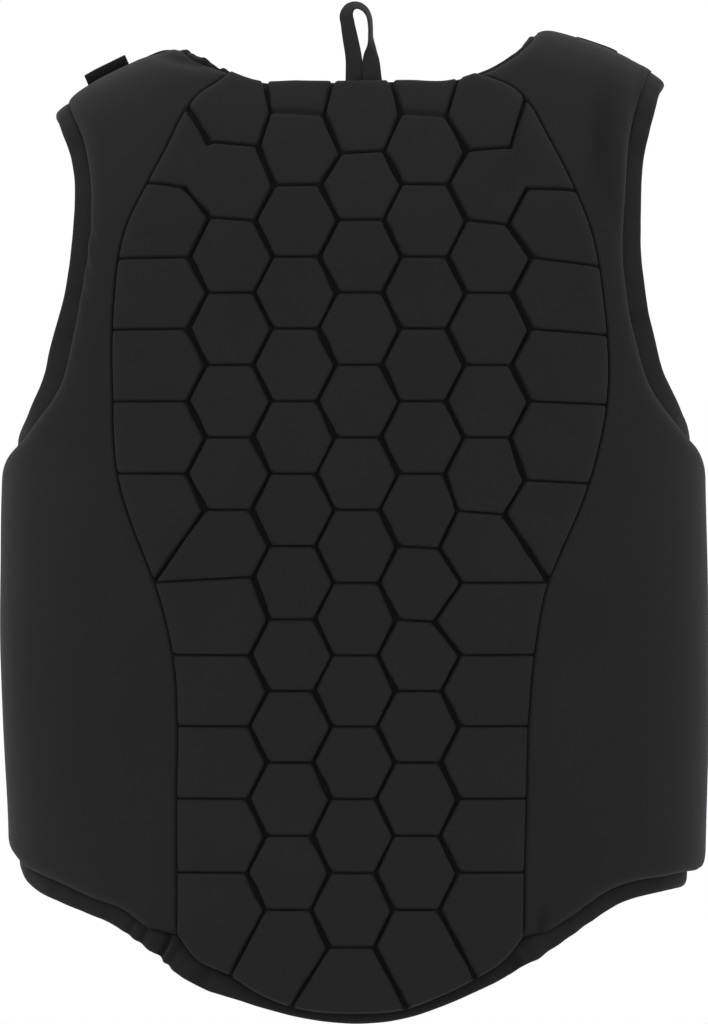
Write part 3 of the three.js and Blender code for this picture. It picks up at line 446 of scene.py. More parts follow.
# How far the ends of the level grooves sit off their rows on the rims, in millimetres, from the corner cell down
rimShifts = {
    "left": [0, 0, 8.6, 0, 0, 0, 0, 0, 0, 0, 0, 0, 0, 0, 0, 0, 0, 0],
    "right": [0, 3.8, 0, 0, -4.7, 0, -3.2, 0, -1.9, 0, -6.0, 0, -2.0, 0, 0, 0, 0, 0],
}


# Level of a row of corners: the rows grow a little taller downwards
def rowLevel(row):
    n = row - padSizes["rowAtShoulderStart"]
    return -torsoSizes["shoulderStart"] - padSizes["halfRow"] * n - padSizes["halfRowGrowth"] * n * n


# Level of the neck edge at a distance x from the middle plane
def neckLevel(x):
    return -curveThrough(backNeck, "across", "drop", x / torsoSizes["chest"]) * torsoSizes["backLength"]


# Spot on the pad's outline at a level
def outlineSpot(level, side):
    x = curveThrough(padOutline, "drop", side, -level / torsoSizes["backLength"]) * torsoSizes["chest"]
    return spotAt(x, level)


# Knots of one rim of the pad, neck to tail: three over the shoulder, then one for each groove that ends there
def sideKnots(side):
    x = np.array(padShoulder[side]) * torsoSizes["chest"]
    level = -np.array(padShoulder[side + "Drop"]) * torsoSizes["backLength"]
    level[0] = neckLevel(x[0])
    rows = [rowLevel(row) for row in [*range(3, 15), 16, 18, 20, 22]]
    levels = np.array([padSizes["cornerCellLevel"], padSizes["mergedCellLevel"], *rows]) + rimShifts[side]
    end = 0 if side == "left" else -1
    across, drop = padBottom["across"][end], padBottom["drop"][end]
    last = spotAt(across * torsoSizes["chest"], -drop * torsoSizes["backLength"])
    return np.vstack([spotAt(x, level), outlineSpot(levels, side), last[None]])


bottomAcross = np.array(padBottom["across"]) * torsoSizes["chest"]
bottomKnots = spotAt(bottomAcross, -np.array(padBottom["drop"]) * torsoSizes["backLength"])


# Smooth run through knots, at places counted in knots: cubic in the length of the chords
def runThrough(knots, index):
    points = torso(knots[:, 0], knots[:, 1])
    way = np.concatenate([[0], np.cumsum(np.linalg.norm(np.diff(points, axis=0), axis=1))])
    at = np.interp(index, np.arange(len(knots)), way)
    table = {"way": way, "turn": knots[:, 0], "level": knots[:, 1]}
    return np.stack([curveThrough(table, "way", "turn", at), curveThrough(table, "way", "level", at)], -1)


knotRuns = {"left": sideKnots("left"), "right": sideKnots("right"), "bottom": bottomKnots}
lastKnot = {"side": 21, "bottom": 10}


# Spot on an outline run: at a knot number, or at a distance x along the neck
def onRun(name, index):
    if name == "neck":
        return spotAt(index, neckLevel(index))
    return runThrough(knotRuns[name], index)


# Corners that sit off the even rows: line, row, and the way across and up in millimetres
cornerShifts = {
    "line": [-0.5, -1.5, -1.5, -0.5, -2.5, -2.5, -2.5, -1.5, 0.5, 1.5, 2.5, 2.5, 2.5, 2.5, 2.5, 1.5, 1.5, 1.5],
    "row": [1, 1, 2, 2, 2, 3, 4, 14, 1, 1, 2, 3, 4, 11, 12, 12, 13, 15],
    "across": [
        1.5, -3.0, 1.0, 1.2, -1.0, -3.4, 0.6, 1.4, -1.0, -1.0, -1.7, -2.9, -2.9, -1.9, -2.9, -3.1, -2.7, -5.0,
    ],
    "up": [4.6, 8.2, 4.7, -1.4, 9.5, 0.9, 2.6, 3.5, 5.0, 3.0, 2.6, -1.8, -2.5, -3.9, -2.8, -0.6, -1.5, -1.5],
}


# A corner of the cells: its spot, and its place on each outline run that it lies on
def cellCorner(line, row):
    size = padSizes
    side = "left" if line < 0 else "right"
    swing = -1 if abs(line - 0.5 + row) % 2 == 0 else 1
    reach = size["topZigzag"] if row == 0 else size["zigzag"]
    x = size["columnCentre"] - size["columnLean"] * row + line * size["columnPitch"] + swing * reach
    if abs(line) < 2 and row == 0:
        return {"spot": onRun("neck", x), "on": {"neck": x}}
    if abs(line) == 2.5 and row == 0:
        return shoulderCorner(0, side)
    if abs(line) == 2.5 and row == 1:
        return {"spot": onRun(side, 3), "on": {side: 3}}
    onRim = {13: 15, 14: 16, 16: 17, 18: 18, 20: 19, 22: 20}  # row and its knot, where this line is the rim
    if abs(line) == 2.5 and row in onRim:
        return {"spot": onRun(side, onRim[row]), "on": {side: onRim[row]}}
    if abs(line) == 3.5:
        return {"spot": onRun(side, row + 2), "on": {side: row + 2}}
    moved = (np.array(cornerShifts["line"]) == line) & (np.array(cornerShifts["row"]) == row)
    across, up = (float(np.array(cornerShifts[way])[moved].sum()) for way in ("across", "up"))
    return {"spot": spotAt(x + across, rowLevel(row) + up), "on": {}}


# Corner on the shoulder run of a side, which the neck run shares at its first knot
def shoulderCorner(index, side):
    spot = onRun(side, index)
    on = {side: index}
    if index == 0:
        on["neck"] = padShoulder[side][0] * torsoSizes["chest"]
    return {"spot": spot, "on": on}


# Corner on the tail's lower run, which a side run shares at each end
def bottomCorner(index):
    on = {"bottom": index}
    if index in (0, lastKnot["bottom"]):
        on["left" if index == 0 else "right"] = lastKnot["side"]
    return {"spot": onRun("bottom", index), "on": on}


# All cells as runs of corners: the middle column, then for each side two columns, the shoulder cells and the rim
def padCells():
    cells = []

    def between(lineLeft, lineRight, rowsLeft, rowsRight, lower=()):
        down = [cellCorner(lineLeft, row) for row in rowsLeft]
        up = [cellCorner(lineRight, row) for row in reversed(rowsRight)]
        cells.append([*down, *lower, *up])

    three = lambda row: [row, row + 1, row + 2]
    for row in range(0, 24, 2):
        between(-0.5, 0.5, three(row), three(row))
    between(-0.5, 0.5, [24], [24], [bottomCorner(k) for k in (4, 5, 6)])
    for side in ("left", "right"):
        sign = -1 if side == "left" else 1

        def pair(inner, outer, rows, rowsOut=None, lower=()):
            rowsOut = rowsOut or rows
            lower = [bottomCorner(k if sign < 0 else lastKnot["bottom"] - k) for k in lower]
            if sign < 0:
                between(outer * sign, inner * sign, rowsOut, rows, lower)
            else:
                between(inner * sign, outer * sign, rows, rowsOut, lower[::-1])

        pair(0.5, 1.5, [0, 1])
        for row in range(1, 23, 2):
            pair(0.5, 1.5, three(row))
        pair(0.5, 1.5, [23, 24], [23], (2, 3, 4))
        middle, far, rim = 1.5 * sign, 2.5 * sign, 3.5 * sign
        upper = [cellCorner(middle, row) for row in (0, 1, 2)] + [cellCorner(far, row) for row in (2, 1)]
        cells.append(upper + [shoulderCorner(k, side) for k in (2, 1, 0)])
        merged = {"spot": onRun(side, 4), "on": {side: 4}, "middle": padSizes["mergedMiddle"][side]}
        outer = [cellCorner(far, 1), merged, cellCorner(rim, 3), cellCorner(far, 3), cellCorner(far, 4)]
        cells.append(outer + [cellCorner(middle, row) for row in (4, 3, 2)] + [cellCorner(far, 2)])
        for row in range(4, 12, 2):
            pair(1.5, 2.5, three(row))
        pair(1.5, 2.5, [12, 13, 14], [12, 14])
        for row in range(14, 22, 2):
            pair(1.5, 2.5, three(row), [row, row + 2])
        pair(1.5, 2.5, [22, 23], [22], (0, 1, 2))
        for row in range(3, 11, 2):
            pair(2.5, 3.5, three(row))
        pair(2.5, 3.5, [11, 12], [11, 12, 13, 14])
    return cells


# Length of a run in millimetres for each part of a spot's turn and level
def stretchAt(spots):
    turn, level = spots[..., 0], spots[..., 1]
    return np.linalg.norm(torso(turn + 1e-4, level) - torso(turn, level), axis=-1) / 1e-4


# One edge of a cell as a dense run, always worked out from the lower end, so both neighbours get the same points
def cellEdge(a, b):
    isTurned = tuple(b["spot"]) < tuple(a["spot"])
    first, last = (b, a) if isTurned else (a, b)
    shared = [name for name in first["on"] if name in last["on"]]
    ends = np.array([first["spot"], last["spot"]])
    length = np.linalg.norm(np.diff(torso(ends[:, 0], ends[:, 1]), axis=0))
    share = np.linspace(0, 1, max(3, int(round(length / padSizes["spacing"]))) + 1)
    if shared:
        name = shared[0]
        run = onRun(name, first["on"][name] + (last["on"][name] - first["on"][name]) * share)
        run[0], run[-1] = ends
    else:
        run = ends[0] + (ends[1] - ends[0]) * share[:, None]
    return run[::-1] if isTurned else run, bool(shared)


# Height lost near a groove: full inside its half width, then a steep wall that rounds over at the top
def grooveLoss(distance, half, wall):
    t = np.clip((distance - half) / wall, 0, 4)
    return np.where(t < 1, 1 - 0.9 * t * t * (3 - 2 * t), 0.1 * np.exp(-(t - 1) * 1.6))


# Height lost at points along one edge of a cell, by the kind of groove that its slope makes it
def edgeGroove(points, line, gap):
    size = padSizes
    run = line[-1] - line[0]
    slope = run[2] / max(1e-6, abs(run[0])) * np.sign(run[0])
    isLevel = abs(slope) < size["levelSlope"]
    if isLevel and line[:, 2].max() > size["neckBelow"] and abs(line[0][0]) < size["neckWithin"]:
        return size["neckDepth"] * grooveLoss(gap, size["neckHalf"], size["neckRun"])
    half = size["levelHalf"] if isLevel else size["steepHalf"] if slope < 0 else size["gentleHalf"]
    half = half * (1 + (size["levelWobble"] if isLevel else size["wobble"]) * softNoise(points, 24.0, 5))
    return (size["levelDepth"] if isLevel else 1.0) * grooveLoss(gap, half, size["wallRun"])


# One cell: rings of points from its edges to its middle, each height set by the distances to its grooves
def padCell(corners):
    size = padSizes
    runs = [cellEdge(corners[k], corners[(k + 1) % len(corners)]) for k in range(len(corners))]
    rim = np.concatenate([run[:-1] for run, _ in runs])
    middle = rim.mean(0)
    stretch = float(stretchAt(middle))
    flat = (rim - middle) * [stretch, 1.0]
    area = (flat[:, 0] * np.roll(flat[:, 1], -1) - np.roll(flat[:, 0], -1) * flat[:, 1]).sum() / 2
    reach = math.sqrt(abs(area) / math.pi)
    for corner in corners:
        middle = middle + np.array(corner.get("middle", (0.0, 0.0))) / [stretch, 1.0]
    rings = 1 - np.array(size["rings"]) / reach
    spots = np.concatenate([middle + (rim - middle) * ring for ring in rings] + [middle[None]])
    points = torso(spots[:, 0], spots[:, 1])
    loss = np.zeros(len(spots))
    drop = np.zeros(len(spots))
    for run, isOutline in runs:
        line = torso(run[:, 0], run[:, 1])
        gap = distanceTo(points, line)
        if isOutline:
            drop = np.maximum(drop, size["edgeDrop"] * np.clip(1 - gap / size["edgeRun"], 0, 1) ** 2.2)
            loss += (size["rimShare"] * grooveLoss(gap, size["rimHalf"], size["rimRun"])) ** size["merge"]
        else:
            loss += edgeGroove(points, line, gap) ** size["merge"]
    loss = np.minimum(1, loss ** (1 / size["merge"]))
    height = size["top"] - drop - loss * size["depth"]
    count = len(rim)
    ring, centre = np.arange(count), np.full(count, len(rings) * count)
    following = (ring + 1) % count
    steps = np.arange(len(rings) - 1)[:, None] * count
    quads = np.stack([steps + ring, steps + following, steps + count + following, steps + count + ring], -1)
    quads, last = quads.reshape(-1, 4), (len(rings) - 1) * count
    fan = np.stack([last + ring, last + following, centre], -1)
    under = np.stack([ring, following, centre], -1)
    if area < 0:
        quads, fan, under = quads[:, ::-1], fan[:, ::-1], under[:, ::-1]
    return spots, height, loss, quads, fan, under


# The whole pad: its cells' upper skins welded along the grooves, over a plain under skin of one fan for each cell
def spinePad():
    cells = [padCell(corners) for corners in padCells()]
    starts = np.cumsum([0] + [len(cell[0]) for cell in cells[:-1]])
    spots, height, loss = (np.concatenate([cell[k] for cell in cells]) for k in range(3))
    first, back = sameSpots(spots)
    faces = (np.concatenate([cell[k] + at for cell, at in zip(cells, starts)]) for k in (3, 4, 5))
    quads, fans, under = (back[group] for group in faces)
    spots, height, loss = spots[first], height[first], loss[first]
    height = height + padSizes["unevenness"] * softNoise(torso(spots[:, 0], spots[:, 1]), 70.0, 3)
    points = np.concatenate([place(spots, height), place(spots, np.full(len(spots), padSizes["inner"]))])
    groups = [quads, fans, under[:, ::-1] + len(spots), openWall(under[:, :2], len(spots))]
    used = np.unique(np.concatenate([group.ravel() for group in groups]))
    number = np.full(len(points), -1)
    number[used] = np.arange(len(used))
    # Painted shade in the grooves and along the rim: the deeper a point sinks, the darker its shade mark
    marks = {"shade": np.concatenate([loss**1.5, np.zeros(len(spots))])[used]}
    groups = [number[group] for group in groups]
    piece = newPiece("spine_pad_cover", points[used], groups, shellMaterial, marks)
    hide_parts("back_pad_hex")
    print("spine pad:", len(used), "points")


spinePad()

# Side and front panels: thickness, how it falls at each kind of edge, painted shade along the edges, and soft
# folds
panelSizes = {
    "thick": 13.2, "inner": 1.2, "leastWall": 1.5, "unevenness": 0.5,
    "armLoss": 8.5, "armRun": 15.0,
    "ridgeKeeps": 0.9, "ridgeStart": -60.0, "ridgeEnd": -20.0,  # less of the loss over the shoulder
    "hemLoss": 7.5, "hemRun": 12.0,
    "hemKeeps": 0.45, "hemStart": 150.0, "hemEnd": 200.0,  # less of the loss at the right side
    "neckLoss": 7.0, "neckRun": 12.0,
    "padLoss": 3.0, "padRun": 1.8,
    "seamLoss": 3.0, "seamRun": 4.5,
    # Painted shade: how dark and how wide it runs along the seam with the pad and along the other edges
    "padShade": 0.6, "padShadeRun": 0.7, "edgeShade": 0.35, "edgeShadeRun": 2.0,
    "ridgeFull": 2.6, "ridgeFullFrom": 100.0, "ridgeFullRun": 50.0, "ridgeFullStart": -70.0,
    "sideTrim": 2.4, "sideTrimRight": 0.6,
}
# Soft folds on the back: ends in x and z, half width, depth below zero or ridge above, how much painted shade
# darkens them
softFolds = {
    "x0": [146, 139, 168, -158, -163, -166, -112, -118, -118, -150, 111, 124],
    "z0": [-30, -44, -12, -104, -117, -132, -352, -530, -9, -516, -520, -530],
    "x1": [141, 150, 163, -149, -152, -154, -128, -111, -84, -125, 107, 114],
    "z1": [-98, -110, -80, -126, -141, -156, -366, -542, -19, -531, -538, -541],
    "half": [8, 6, 4, 3.2, 3.2, 3.2, 6, 3, 5.5, 2.6, 3.5, 2.6],
    "depth": [-1.6, -1.1, -1.0, -1.3, -1.4, -1.1, -1.5, -1.8, -3.6, -2.0, -2.0, -1.6],
    "foldShade": [0.45, 0.3, 0.15, 0.3, 0.3, 0.25, 0.15, 0.4, 0.85, 0.6, 0.5, 0.4],
}


# Smooth step from 0 at a start to 1 at an end: a cubic, level at both
def softStep(values, start, end):
    t = np.clip((values - start) / (end - start), 0, 1)
    return t * t * (3 - 2 * t)


# Height and painted shade of all the folds: each a bell across its line, a sine along it, on the back alone
def foldsAt(points):
    height, foldShade = np.zeros(len(points)), np.zeros(len(points))
    flat = points[:, [0, 2]]
    for x0, z0, x1, z1, half, depth, darker in zip(*softFolds.values()):
        a, run = np.array([x0, z0], float), np.array([x1 - x0, z1 - z0], float)
        t = np.clip((flat - a) @ run / (run @ run), 0, 1)
        gap = np.linalg.norm(flat - a - t[:, None] * run, axis=1)
        near = np.exp(-(gap / half) ** 2) * np.sin(math.pi * (0.12 + 0.76 * t)) * (points[:, 1] < 0)
        height += depth * near
        foldShade = np.maximum(foldShade, darker * near)
    return height, foldShade


# Fuller padding at the outer shoulder, and sides that hang a little to the right
def fullness(points):
    size = panelSizes
    aside = np.abs(points[:, 0])
    shoulder = np.clip((aside - size["ridgeFullFrom"]) / size["ridgeFullRun"], 0, 1)
    shoulder = shoulder * softStep(points[:, 2], size["ridgeFullStart"], size["ridgeEnd"])
    side = softStep(-points[:, 2], 320, 480) * softStep(aside, 140, 200)
    share = np.where(points[:, 0] < 0, -1, size["sideTrimRight"])
    return size["ridgeFull"] * shoulder + size["sideTrim"] * side * share


armRows, padRows = float(len(backArmhole["drop"]) - 1), float(lastKnot["side"])
closureHalf = 9.0  # from the middle plane to each front panel's edge


# Edge runs of one side's panels, each a function that gives spots for shares or table rows along it
def sideRuns(side):
    sign = -1 if side == "left" else 1
    chest, length = torsoSizes["chest"], torsoSizes["backLength"]
    order = {name: np.array(column)[::-sign] for name, column in backNeck.items()}  # from this side's shoulder on
    order["way"] = np.arange(len(order["across"]))
    padWay = float(curveThrough(order, "across", "way", padShoulder[side][0]))

    def neck(share):
        row = rowsAt(order, np.asarray(share) * padWay)
        return spotAt(row["across"] * chest, -row["drop"] * length)

    def armBack(index):
        row = rowsAt({"turn": backArmhole[side], "drop": backArmhole["drop"]}, index)
        return np.stack([row["turn"] * quarterTurn, -row["drop"] * length], -1)

    def armFront(share):
        table = {"turn": frontArmhole[side], "drop": frontArmhole["drop"]}
        row = rowsAt(table, np.asarray(share) * (len(table["drop"]) - 1))
        return np.stack([row["turn"] * quarterTurn, -row["drop"] * length], -1)

    def pad(index):
        return onRun(side, index)

    seamTop, padEnd = armBack(np.array([armRows]))[0], pad(np.array([padRows]))[0]
    hem = leftHem if sign < 0 else rightHem
    hemTable = {"turn": [*hem["turn"], padEnd[0] / quarterTurn], "drop": [*hem["drop"], -padEnd[1] / length]}

    def hemBack(share):
        turn = hemTable["turn"][0] + (hemTable["turn"][-1] - hemTable["turn"][0]) * np.asarray(share)
        return np.stack([turn * quarterTurn, -curveThrough(hemTable, "turn", "drop", turn) * length], -1)

    seamBottom = hemBack(np.array([0.0]))[0]

    def seam(share):
        share = np.asarray(share)[:, None]
        return seamTop + (np.array([seamTop[0], seamBottom[1]]) - seamTop) * share

    closureX = closureHalf * sign
    frontDrop = frontHem["drop"][-1]
    closureTurn = abs(spotAt(closureX, -frontDrop * length, False)[0]) / quarterTurn
    frontTable = {"turn": [*frontHem["turn"][:-1], closureTurn]}
    frontTable["drop"] = [-seamBottom[1] / length, *frontHem["drop"][1:]]

    def hemFront(share):
        turn = frontTable["turn"][0] + (frontTable["turn"][-1] - frontTable["turn"][0]) * np.asarray(share)
        return np.stack([turn * quarterTurn * sign, -curveThrough(frontTable, "turn", "drop", turn) * length], -1)

    neckTable = {"across": [abs(order["across"][0]), *frontNeck["across"][1:]], "drop": frontNeck["drop"]}

    def neckFront(share):
        row = rowsAt(neckTable, np.asarray(share) * (len(neckTable["drop"]) - 1))
        return spotAt(row["across"] * chest * sign, -row["drop"] * length, False)

    closureTop = neckFront(np.array([1.0]))[0][1]

    def closure(share):
        return spotAt(closureX, closureTop + (-frontDrop * length - closureTop) * np.asarray(share), False)

    return {
        "side": side, "neck": neck, "neckFront": neckFront, "armBack": armBack, "armFront": armFront, "pad": pad,
        "hemBack": hemBack, "hemFront": hemFront, "seam": seam, "closure": closure,
    }


# Even spots from one to another
def straight(a, b, count):
    return a + (b - a) * np.linspace(0, 1, count)[:, None]


# Back side panel as three patches: over the shoulder, beside the armhole, and the body below it. armDivide and
# padDivide are where the second meets the third, in rows of the armhole's table and knots of the pad.
armDivide, padDivide = 6.5, 10.0


def backPatches(runs, fine=1.0):
    n = lambda count: max(5, int(count * fine))
    strap, arm = n(56), runs["armBack"]
    neck = runs["neck"](np.linspace(0, 1, n(48)))
    shoulderArm = arm(np.linspace(0, 1, n(48)))
    neck[0] = np.array([neck[0][0], shoulderArm[0][1]])
    neck[-1] = runs["pad"](np.array([0.0]))[0]
    strapEnd = straight(shoulderArm[-1], neck[-1], strap)
    shoulder = patch(straight(shoulderArm[0], neck[0], strap), strapEnd, shoulderArm, neck)
    besideArm = arm(np.linspace(1, armDivide, n(130)))
    besidePad = runs["pad"](np.linspace(0, padDivide, n(130)))
    divide = straight(besideArm[-1], besidePad[-1], strap)
    beside = patch(strapEnd, divide, besideArm, besidePad)
    underArm = arm(np.linspace(armRows, armDivide, n(90)))
    top = np.vstack([underArm, divide[1:]])
    bottom = runs["hemBack"](np.linspace(0, 1, len(top)))
    below = runs["pad"](np.linspace(padDivide, padRows, n(150)))
    body = patch(top, bottom, runs["seam"](np.linspace(0, 1, len(below))), below)
    return [shoulder, beside, body]


# Front panel as one patch: armhole and side seam on one side, neck and closure on the other
frontRows = {"all": 21, "arm": 14, "neck": 6}


def frontPatches(runs, fine=1.0):
    n = lambda count: max(5, int(count * fine))
    rows = np.linspace(0, frontRows["all"], n(240))

    def twoRuns(upper, lower, split):
        upperPart = np.minimum(rows, split) / split
        lowerPart = np.maximum(rows - split, 0) / (frontRows["all"] - split)
        return np.where((rows <= split)[:, None], upper(upperPart), lower(lowerPart))

    left = twoRuns(lambda share: runs["armFront"](1 - share), runs["seam"], frontRows["arm"])
    right = twoRuns(runs["neckFront"], runs["closure"], frontRows["neck"])
    columns = n(120)
    bottom = runs["hemFront"](np.linspace(0, 1, columns))
    bottom[0], bottom[-1] = left[-1], right[-1]
    return [patch(straight(left[0], right[0], columns), bottom, left, right)]


# Height lost towards an edge: nothing past its run, then down along a quarter of a rounded square
def edgeLoss(distance, run, loss, power=2.4):
    t = np.clip(distance / run, 0, 1)
    return loss * (1 - (1 - (1 - t) ** power) ** (1 / power))


# Edges of a panel: their kind, their run, and how far its places are counted
panelEdges = {
    "back": [
        ("arm", "armBack", armRows), ("neck", "neck", 1.0), ("pad", "pad", padRows), ("hem", "hemBack", 1.0),
        ("seam", "seam", 1.0),
    ],
    "front": [
        ("arm", "armFront", 1.0), ("neck", "neckFront", 1.0), ("hem", "hemFront", 1.0), ("seam", "seam", 1.0),
        ("hem", "closure", 1.0),
    ],
}


# One padded panel: full thickness less what all its edges take, joined as the cube root of their summed cubes
def panelPiece(name, node, runs, isBack):
    size = panelSizes
    spots, faces = joined(backPatches(runs) if isBack else frontPatches(runs))
    points = torso(spots[:, 0], spots[:, 1])
    total = np.zeros(len(spots))
    shade = np.zeros(len(spots))
    for kind, runName, span in panelEdges["back" if isBack else "front"]:
        line = runs[runName](np.linspace(0, 1, 900) * span)
        gap = distanceTo(points, torso(line[:, 0], line[:, 1]))
        loss = size[kind + "Loss"]
        if kind == "arm":
            loss = loss * (1 - size["ridgeKeeps"] * softStep(points[:, 2], size["ridgeStart"], size["ridgeEnd"]))
        if kind == "hem":
            loss = loss * (1 - size["hemKeeps"] * softStep(points[:, 0], size["hemStart"], size["hemEnd"]))
        total += edgeLoss(gap, size[kind + "Run"], loss) ** 3
        # Painted shade along each edge, strongest at the seam with the pad
        key = "padShade" if kind == "pad" else "edgeShade"
        shade = np.maximum(shade, size[key] * np.exp(-(gap / size[key + "Run"]) ** 2))
    height = size["thick"] - np.minimum(total ** (1 / 3), size["thick"] - size["inner"] - size["leastWall"])
    folds, foldShading = foldsAt(points)
    # Painted shade in the folds, which the even light alone would barely show
    shade = np.maximum(shade, foldShading)
    unevenness = size["unevenness"] * softNoise(points, 75.0, 11 if runs["side"] == "left" else 12)
    height = height + unevenness + folds + fullness(points)
    under = place(spots, np.full(len(spots), size["inner"]))
    allPoints, groups = closedWall(place(spots, height), under, faces)
    marks = {"shade": np.concatenate([shade, np.zeros(len(shade))])}
    piece = newPiece(name, allPoints, groups, shellMaterial, marks)
    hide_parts(node)
    print(name + ":", len(allPoints), "points")


leftRuns, rightRuns = sideRuns("left"), sideRuns("right")
panelPiece("side_panel_left", "back_side_left", leftRuns, True)
panelPiece("side_panel_right", "back_side_right", rightRuns, True)
panelPiece("front_panel_left", "front_left", leftRuns, False)
panelPiece("front_panel_right", "front_right", rightRuns, False)

# Lining: a thin knit skin inside each panel
liningSizes = {"outer": -0.4, "inner": -2.0, "wave": 0.25, "fine": 0.3}  # fine: share of the panels' grid


# One lining: an even outer skin and an inner one that waves a little
def liningPiece(name, node, grids):
    spots, faces = joined(grids)
    wave = liningSizes["wave"] * softNoise(torso(spots[:, 0], spots[:, 1]), 40.0, 21)
    outer = place(spots, np.full(len(spots), liningSizes["outer"]))
    inner = place(spots, liningSizes["inner"] + wave)
    points, groups = closedWall(outer, inner, faces)
    piece = newPiece(name, points, groups, liningMaterial, {"shade": np.zeros(len(points))})
    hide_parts(node)


# The lining's sheet behind the pad, one patch between the pad's four runs
def padSheet(count=60):
    left, right = (onRun(side, np.linspace(0, padRows, count)) for side in ("left", "right"))
    x = np.linspace(padShoulder["left"][0], padShoulder["right"][0], count) * torsoSizes["chest"]
    top, bottom = onRun("neck", x), onRun("bottom", np.linspace(0, lastKnot["bottom"], count))
    top[0], top[-1], bottom[0], bottom[-1] = left[0], right[0], left[-1], right[-1]
    return patch(top, bottom, left, right)


fine = liningSizes["fine"]
backSheets = [*backPatches(leftRuns, fine), *backPatches(rightRuns, fine), padSheet()]
liningPiece("lining_back_cover", "lining_back", backSheets)
liningPiece("lining_front_left_cover", "lining_front_left", frontPatches(leftRuns, fine))
liningPiece("lining_front_right_cover", "lining_front_right", frontPatches(rightRuns, fine))
print("panels and lining made")

# Bindings: a knit strip folded over each edge, its section carried along the edge
bindingSizes = {
    "width": 13.0, "neckWidth": 3.4, "start": -1.5, "neckStart": -1.0,
    "top": 4.0, "neckTop": 8.4, "bottom": -2.8, "roundness": 3.2,
    "spacing": 1.3, "widthSoft": 6, "gather": 0.35, "gatherUnder": -0.4, "gatherAside": 0.35,
    "ridgeLift": 10.5, "ridgeStart": -75.0, "ridgeEnd": -25.0,  # lifted with the padding of the shoulder
    "liftFalls": 0.15,
    # Painted shade: a shadow line along the seam, and shade in the dips of the gathers
    "seamShade": 0.5, "seamShadeRun": 0.16, "dipShade": 0.9, "dipDeep": 1.8,
}
# Width of the hem strip along the back, shares of the binding width
hemWidth = {
    "across": [
        -1.1, -0.92, -0.77, -0.68, -0.62, -0.57, -0.51, -0.45, -0.36, -0.25,
        0, 0.3, 0.42, 0.47, 0.53, 0.58, 0.7, 0.85, 1,
    ],
    "width": [
        0.85, 0.94, 0.84, 0.82, 0.85, 1.05, 1.32, 1.26, 0.94, 0.5,
        0.46, 0.51, 0.74, 1, 1.1, 0.8, 0.82, 0.82, 0.85,
    ],
}
# Width of the armhole strips down the back, shares of the binding width
armWidth = {
    "drop": [-0.15, 0.05, 0.16, 0.25, 0.32, 0.38, 0.4165],
    "left": [0.6, 0.68, 1.2, 1.25, 1.6, 1.3, 1],
    "right": [0.95, 0.95, 1.22, 1.38, 1.48, 1.35, 1.05],
}


# Gathers and puckers: where in x, half width, how deep, their wavelength
hemGathers = {"x": 112.0, "half": 22.0, "depth": 3.0, "wave": 7.0, "lift": 3.2, "liftX": 108.0, "liftHalf": 30.0}
neckPuckers = {"x": -88.0, "half": 20.0, "rise": 1.2, "depth": 2.2, "wave": 10.0}


# Section of a band: a rounded flat tube between two heights, a superellipse from the edge outwards
def bandSection(start, width, bottom, top, count=28):
    angle = np.linspace(0, 2 * math.pi, count, endpoint=False)
    middle, half = (start + width) / 2, (width - start) / 2
    centre, rise = (bottom + top) / 2, (top - bottom) / 2
    power = 2 / bindingSizes["roundness"]
    c, s = np.cos(angle), np.sin(angle)
    return middle + half * np.sign(c) * np.abs(c) ** power, centre + rise * np.sign(s) * np.abs(s) ** power


# Section carried along a path: away from the edge by its share of the width, out by its height and the lift.
# shapeAt gives, for each point of the path, the strip's width, its ripple and how far it is lifted off the torso.
def bandPiece(name, node, spots, isClosed, awaySign, start, top, shapeAt, soft=4):
    size = bindingSizes
    points, out, isBack = runInSpace(spots, size["spacing"], isClosed, soft)
    if isClosed:
        along = unit(np.roll(points, -1, 0) - np.roll(points, 1, 0))
    else:
        along = unit(np.gradient(points, axis=0))
    away = unit(np.cross(out, along)) * awaySign
    share, b = bandSection(0, 1, size["bottom"], top)
    width, ripple, raised = (column[:, None] for column in shapeAt(points, isBack))
    width = eased(width, size["widthSoft"], isClosed)
    reach = start + (width - start) * share
    height = b + raised * (1 - size["liftFalls"] * share)
    rings = points[:, None] + away[:, None] * reach[..., None] + out[:, None] * height[..., None]
    loose = eased(rings.reshape(len(rings), -1), 2 * soft, isClosed).reshape(rings.shape)
    rings = rings + (loose - rings) * (share**2)[None, :, None]  # the outer edge hangs smoother than the seam
    lift = ripple * np.sin(math.pi * share) * np.where(b > (size["bottom"] + top) / 2, 1, size["gatherUnder"])
    aside = size["gatherAside"] * ripple * share**3
    rings = rings + out[:, None] * lift[..., None] + away[:, None] * aside[..., None]
    flat, groups = tubeSkin(rings, isClosed)
    # Painted shade: a shadow line along the seam side, and shade in the dips of the ripple
    dip = size["dipShade"] * np.clip(-ripple / size["dipDeep"], 0, 1)
    shade = size["seamShade"] * np.exp(-(share / size["seamShadeRun"]) ** 2) + dip
    shade = np.concatenate([shade.ravel(), np.zeros(len(flat) - shade.size)])
    piece = newPiece(name, flat, groups, bindingMaterial, {"shade": shade})
    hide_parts(node)
    print(name + ":", len(flat), "points")


# Small even ripple of an elastic strip
def evenGather(points):
    return bindingSizes["gather"] * softNoise(points, 16.0, 31)


# Armhole strip on one side: its own widths down the back, lifted with the padding over the shoulder
def armShape(side):
    table = {"drop": armWidth["drop"], "share": armWidth[side]}

    def shapeAt(points, isBack):
        share = curveThrough(table, "drop", "share", -points[:, 2] / torsoSizes["backLength"])
        lifted = softStep(points[:, 2], bindingSizes["ridgeStart"], bindingSizes["ridgeEnd"])
        width = bindingSizes["width"] * np.where(isBack, share, 1)
        return width, evenGather(points), bindingSizes["ridgeLift"] * lifted

    return shapeAt


